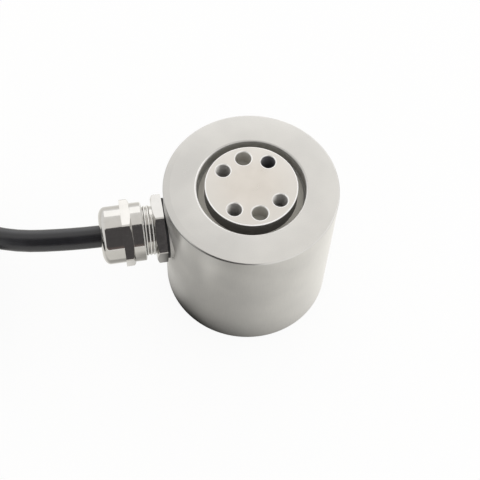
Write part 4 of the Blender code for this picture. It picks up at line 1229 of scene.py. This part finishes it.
def flange_and_cup():
    """The base flange with the cup that stands on it, as one turned ring."""
    rim, edge = POCKET_RADIUS - 0.08 * MM, ELEMENT_EDGE
    cup_bore, cup_floor, well = 13.0 * MM, 6.2 * MM, 11.5 * MM
    rows = [
        (COVER_SEAT_RADIUS, 0),
        (rim - edge, 0),
        (rim, edge),
        (rim, FLANGE_TOP),
        (CUP_RADIUS, FLANGE_TOP),
        (CUP_RADIUS, CUP_TOP),
        (cup_bore, CUP_TOP),
        (cup_bore, cup_floor),
        (well, cup_floor),
        (well, COVER_POCKET_DEPTH),
        (COVER_SEAT_RADIUS, COVER_POCKET_DEPTH),
    ]
    return turned(eased(rows, 0.1 * MM))


def post_and_platform():
    foot, under = 15.0 * MM, PLATFORM_TOP - PLATFORM_THICKNESS
    rows = [
        (0, foot),
        (POST_RADIUS, foot),
        (POST_RADIUS, under - POST_FLARE),
        (POST_RADIUS + POST_FLARE, under),
        (SHOULDER_RADIUS, under),
        (SHOULDER_RADIUS, SHOULDER_TOP),
        (PLATFORM_RADIUS, SHOULDER_TOP),
        (PLATFORM_RADIUS, PLATFORM_TOP - ELEMENT_EDGE),
        (PLATFORM_RADIUS - ELEMENT_EDGE, PLATFORM_TOP),
        (0, PLATFORM_TOP),
    ]
    return turned(eased(rows, BODY_EASE, closed=False), closed=False)


def beam_cross():
    """Four beams from the post to the cup: one corner of the outline, turned four times."""
    half, reach = 2.5 * MM, 13.6 * MM
    corner, outline = [(reach, -half), (reach, half), (half, half)], []
    for _ in range(4):
        outline += corner
        corner = [(-y, x) for x, y in corner]
    bm = bmesh.new()
    extruded(outline, CUP_TOP - 5.3 * MM, CUP_TOP - 0.3 * MM, bm)
    return bm


def slots_and_windows():
    """Slots that leave a thin leaf behind each beam's end, and windows in the cup between them."""
    slot = (14.2 * MM, -6.5 * MM, 13 * MM), (15.4 * MM, 6.5 * MM, 23 * MM)
    window = (12 * MM, -4 * MM, 8.5 * MM), (18.6 * MM, 4 * MM, 16.5 * MM)
    bm = bmesh.new()
    for angle in around(4):
        added(bm, lambda target: box(*slot, target), Matrix.Rotation(angle, 4, "Z"))
        added(bm, lambda target: box(*window, target), Matrix.Rotation(angle + math.pi / 4, 4, "Z"))
    return bm


def load_thread():
    return tapped_hole(LOAD_THREAD_DEPTH)


def base_thread():
    return tapped_hole(BASE_THREAD_DEPTH)


def dowel_hole():
    return blind_hole(DOWEL_RADIUS, LOAD_DOWEL_DEPTH, DOWEL_MOUTH)


def make_element():
    """The sensing element in one solid: flange, cup, post, beams and platform with all its holes."""
    base = mesh_of("element", flange_and_cup())
    beams, cuts = beam_cross(), slots_and_windows()
    for bm in (beams, cuts):
        bmesh.ops.transform(bm, matrix=ELEMENT_AXIS, verts=bm.verts, space=BODY_AXIS)
    holes = (
        (LOAD_CIRCLE_RADIUS, 4, math.pi / 4, PLATFORM_TOP, load_thread),
        (LOAD_CIRCLE_RADIUS, 2, math.pi / 2, PLATFORM_TOP, dowel_hole),
        (BASE_CIRCLE_RADIUS, 4, math.pi / 4, 0, base_thread, True),
        (BASE_CIRCLE_RADIUS, 2, math.pi / 2, 0, dowel_hole, True),
        (BASE_SCREW_CIRCLE, 8, math.pi / 8, 0, screw_bore, True),
        (COVER_SCREW_CIRCLE, 4, math.pi / 4, COVER_POCKET_DEPTH, cover_tap, True),
    )
    tools = [("UNION", beams), ("UNION", post_and_platform()), ("DIFFERENCE", cuts)]
    tools += [("DIFFERENCE", hole_row(*row)) for row in holes]
    mesh = combined("element", base, tools)
    piece = put_in_scene("sensing_element_body", mesh, "element_steel")
    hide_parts("sensing_element")


def seal_slit():
    """A thin silicone bead, a little sunk, in the slit between the platform's shoulder and the ring."""
    inner, outer = SHOULDER_RADIUS + 0.02 * MM, RING_BORE_RADIUS + LIP_RELIEF - 0.02 * MM
    top, thickness, sag = SHOULDER_TOP - 0.15 * MM, 0.6 * MM, 0.14 * MM
    rows = [(inner, top - thickness), (outer, top - thickness), (outer, top)]
    for step in range(1, 8):
        share = step / 8
        rows.append((outer + (inner - outer) * share, top - sag * math.sin(math.pi * share)))
    rows.append((inner, top))
    put_in_scene("slit_seal", mesh_of("slit seal", turned(rows)), "grey_rubber", SILICONE)


def screw_bore():
    """A counterbored hole for one housing screw."""
    deep, shank, head, seat, chamfer = 8 * MM, 1.45 * MM, 2.45 * MM, 2.9 * MM, 0.15 * MM
    rows = [
        (0, -deep),
        (shank, -deep),
        (shank, -seat),
        (head, -seat),
        (head, -chamfer),
        (head + chamfer, 0),
        (head + chamfer, OVERCUT),
        (0, OVERCUT),
    ]
    return turned(rows, 48, closed=False)


def cover_tap():
    return blind_hole(1.1 * MM, 2.3 * MM, 1.2 * MM, 32)


def screw_tap():
    return blind_hole(1.3 * MM, 6.3 * MM, 1.5 * MM, 24)


def cut_threads():
    """Thread ridges in the tapped holes of platform and base."""
    over, run_out = 0.03 * MM, 0.9 * MM
    sizes = {
        "Root Radius": THREAD_MAJOR + over,
        "Crest Height": THREAD_MINOR - THREAD_MAJOR - over,
        "Crest Share": 0.08,
        "Pitch": THREAD_PITCH,
        "Finish": FINISHES["element_steel"],
    }
    bm = bmesh.new()
    rows = (
        (LOAD_CIRCLE_RADIUS, PLATFORM_TOP - LOAD_THREAD_DEPTH, LOAD_THREAD_DEPTH - run_out),
        (BASE_CIRCLE_RADIUS, run_out, BASE_THREAD_DEPTH - run_out),
    )
    for radius, bottom, length in rows:
        mesh = THREADS.made("ridge", {**sizes, "Turns": length / THREAD_PITCH})
        for angle in around(4, math.pi / 4):
            place = Matrix.Translation((*on_circle(radius, angle), bottom))
            added(bm, lambda target: target.from_mesh(mesh), place, ELEMENT_AXIS)
        bpy.data.meshes.remove(mesh)
    put_in_scene("thread_ridges", mesh_of("ridges", bm, sharp=20), "element_steel")


make_housing()
make_element()
seal_slit()
cut_threads()


# Gland


HEX_ACROSS = 9.0 * MM
HEX_CORNER = HEX_ACROSS / math.cos(math.pi / 6)
HEX_FACE = HEX_ACROSS - 0.06 * MM
HEX_CUT = 0.45
HEX_EASE = 0.06
HEX_STEPS = 240
WASHER_BORE = 8.15 * MM
WASHER_EDGE = 0.08 * MM


def hexagonal(turn):
    """Outline radius of a hexagon whose corners are turned a little round, at each angle."""
    def radius(angle):
        part = (angle - turn) % (math.pi / 3) - math.pi / 6
        return min(HEX_ACROSS / math.cos(part), HEX_CORNER - 0.12 * MM)

    return radius


def hex_rows(turn, start, end, low_slope, high_slope):
    """Rows of a hexagonal band whose faces are cut back by a cone of the given slopes."""
    outline = hexagonal(turn)

    def drop(angle):
        return max(0.0, outline(angle) - HEX_FACE)

    return [
        (HEX_FACE, start),
        (outline, lambda angle: start + drop(angle) * low_slope),
        (outline, lambda angle: end - drop(angle) * high_slope),
        (HEX_FACE, end),
    ]


def gland_thread(name, root, height, first, last, pitch):
    """Thread ridges round the gland's body between two distances along its axis."""
    finish = FINISHES["nickel_plate"]
    turns = (last - first) / pitch
    sizes = {"Root Radius": root, "Crest Height": height, "Crest Share": 0.13, "Pitch": pitch}
    place = GLAND_AXIS @ Matrix.Translation((0, 0, first))
    mesh = THREADS.made(name, {**sizes, "Turns": turns, "Finish": finish}, place)
    smooth_with_sharp_edges(mesh, 20)
    return put_in_scene(name, mesh, "nickel_plate")


def make_gland():
    """The gland's body with both threads, the rubber ring and the dome nut."""
    rear, start, end = 17.8 * MM, 25.25 * MM, 28.35 * MM
    neck, core, top = 7.3 * MM, CREST_RADIUS - 0.32 * MM, 34.0 * MM
    bore, seat, seat_end = 4.0 * MM, 5.2 * MM, 24.0 * MM
    rows = [
        (bore, rear),
        (7.0 * MM, rear),
        (neck, 18.1 * MM),
        (neck, start),
        *hex_rows(math.radians(46), start, end, HEX_EASE, HEX_CUT),
        (core, end),
        (core, top),
        (core - 0.4 * MM, top + 0.5 * MM),
        (seat, top + 0.5 * MM),
        (seat, seat_end),
        (bore, seat_end),
    ]
    mesh = mesh_of("gland", turned(rows, HEX_STEPS), GLAND_AXIS, sharp=22)
    body = put_in_scene("gland_hexagon", mesh, "nickel_plate")
    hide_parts("gland_body")
    threads = (
        gland_thread("gland_neck_thread", core - 0.03 * MM, 0.35 * MM, end + 0.3 * MM, top, 1.0 * MM),
        gland_thread("gland_port_thread", 7.25 * MM, 0.75 * MM, 18.3 * MM, 23.8 * MM, 1.5 * MM),
    )
    mesh = mesh_of("washer", sealing_washer(start), GLAND_AXIS)
    ring = put_in_scene("sealing_washer", mesh, "black_rubber")
    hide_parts("gland_washer")
    return [body, *threads, ring, make_dome_nut()]


def sealing_washer(hexagon):
    """A flat rubber ring against the hexagon."""
    outer, low, top = PORT_FACE_RADIUS - 0.05 * MM, WASHER_FACE, hexagon - 0.02 * MM
    rows = [
        (WASHER_BORE, low),
        (outer - WASHER_EDGE, low),
        (outer, low + WASHER_EDGE),
        (outer, top - WASHER_EDGE),
        (outer - WASHER_EDGE, top),
        (WASHER_BORE, top),
    ]
    return turned(rows, HEX_STEPS)


def saddle_ring():
    """The steel ring behind the rubber, hollowed to sit on the round body."""
    skin, outer, top = 0.03 * MM, PORT_FACE_RADIUS - 0.08 * MM, WASHER_FACE - 0.01 * MM

    def seat(radius):
        def height(angle):
            wall = math.sqrt(BODY_RADIUS**2 - (radius * math.sin(angle)) ** 2)
            return min(PORT_FACE, wall) + skin

        return height

    rows = [
        (WASHER_BORE, seat(WASHER_BORE)),
        (outer, seat(outer)),
        (outer, top - WASHER_EDGE),
        (outer - WASHER_EDGE, top),
        (WASHER_BORE, top),
    ]
    put_in_scene("saddle_ring", mesh_of("saddle", turned(rows, HEX_STEPS), GLAND_AXIS), "stainless_steel")


def make_dome_nut():
    """Round skirt, hexagon and domed nose, bored for the cable."""
    rear, skirt_end, hex_end = 31.3 * MM, 34.65 * MM, 37.45 * MM
    skirt, dome, bore = 8.6 * MM, 8.4 * MM, CREST_RADIUS + 0.05 * MM
    nose_start, nose_drop, tip = 41.8 * MM, 3.3 * MM, 43.9 * MM
    mouth, inner_face, cone_start = 3.34 * MM, 42.6 * MM, 38.5 * MM
    edge, steps = 0.3 * MM, 16
    back = [(bore, rear + edge), (bore + edge, rear), (skirt - 0.35 * MM, rear), (skirt, rear + 0.35 * MM)]
    nose = []
    for step in range(steps + 1):
        angle = math.pi / 2 * step / steps
        out = dome - nose_drop * (1 - math.cos(angle))
        nose.append((out, nose_start + (tip - nose_start) * math.sin(angle)))
    rows = [
        *eased(back, 0.08 * MM, closed=False),
        (skirt, skirt_end),
        *hex_rows(math.radians(40.3), skirt_end, hex_end, HEX_CUT, HEX_EASE),
        (dome, hex_end),
        *nose,
        (mouth + edge, tip),
        (mouth, tip - edge),
        (mouth, inner_face),
        (5.6 * MM, inner_face),
        (bore, cone_start),
    ]
    mesh = mesh_of("nut", turned(rows, HEX_STEPS), GLAND_AXIS, sharp=22)
    piece = put_in_scene("dome_nut", mesh, "nickel_plate")
    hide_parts("gland_dome_nut")
    return piece


gland = make_gland()
saddle_ring()
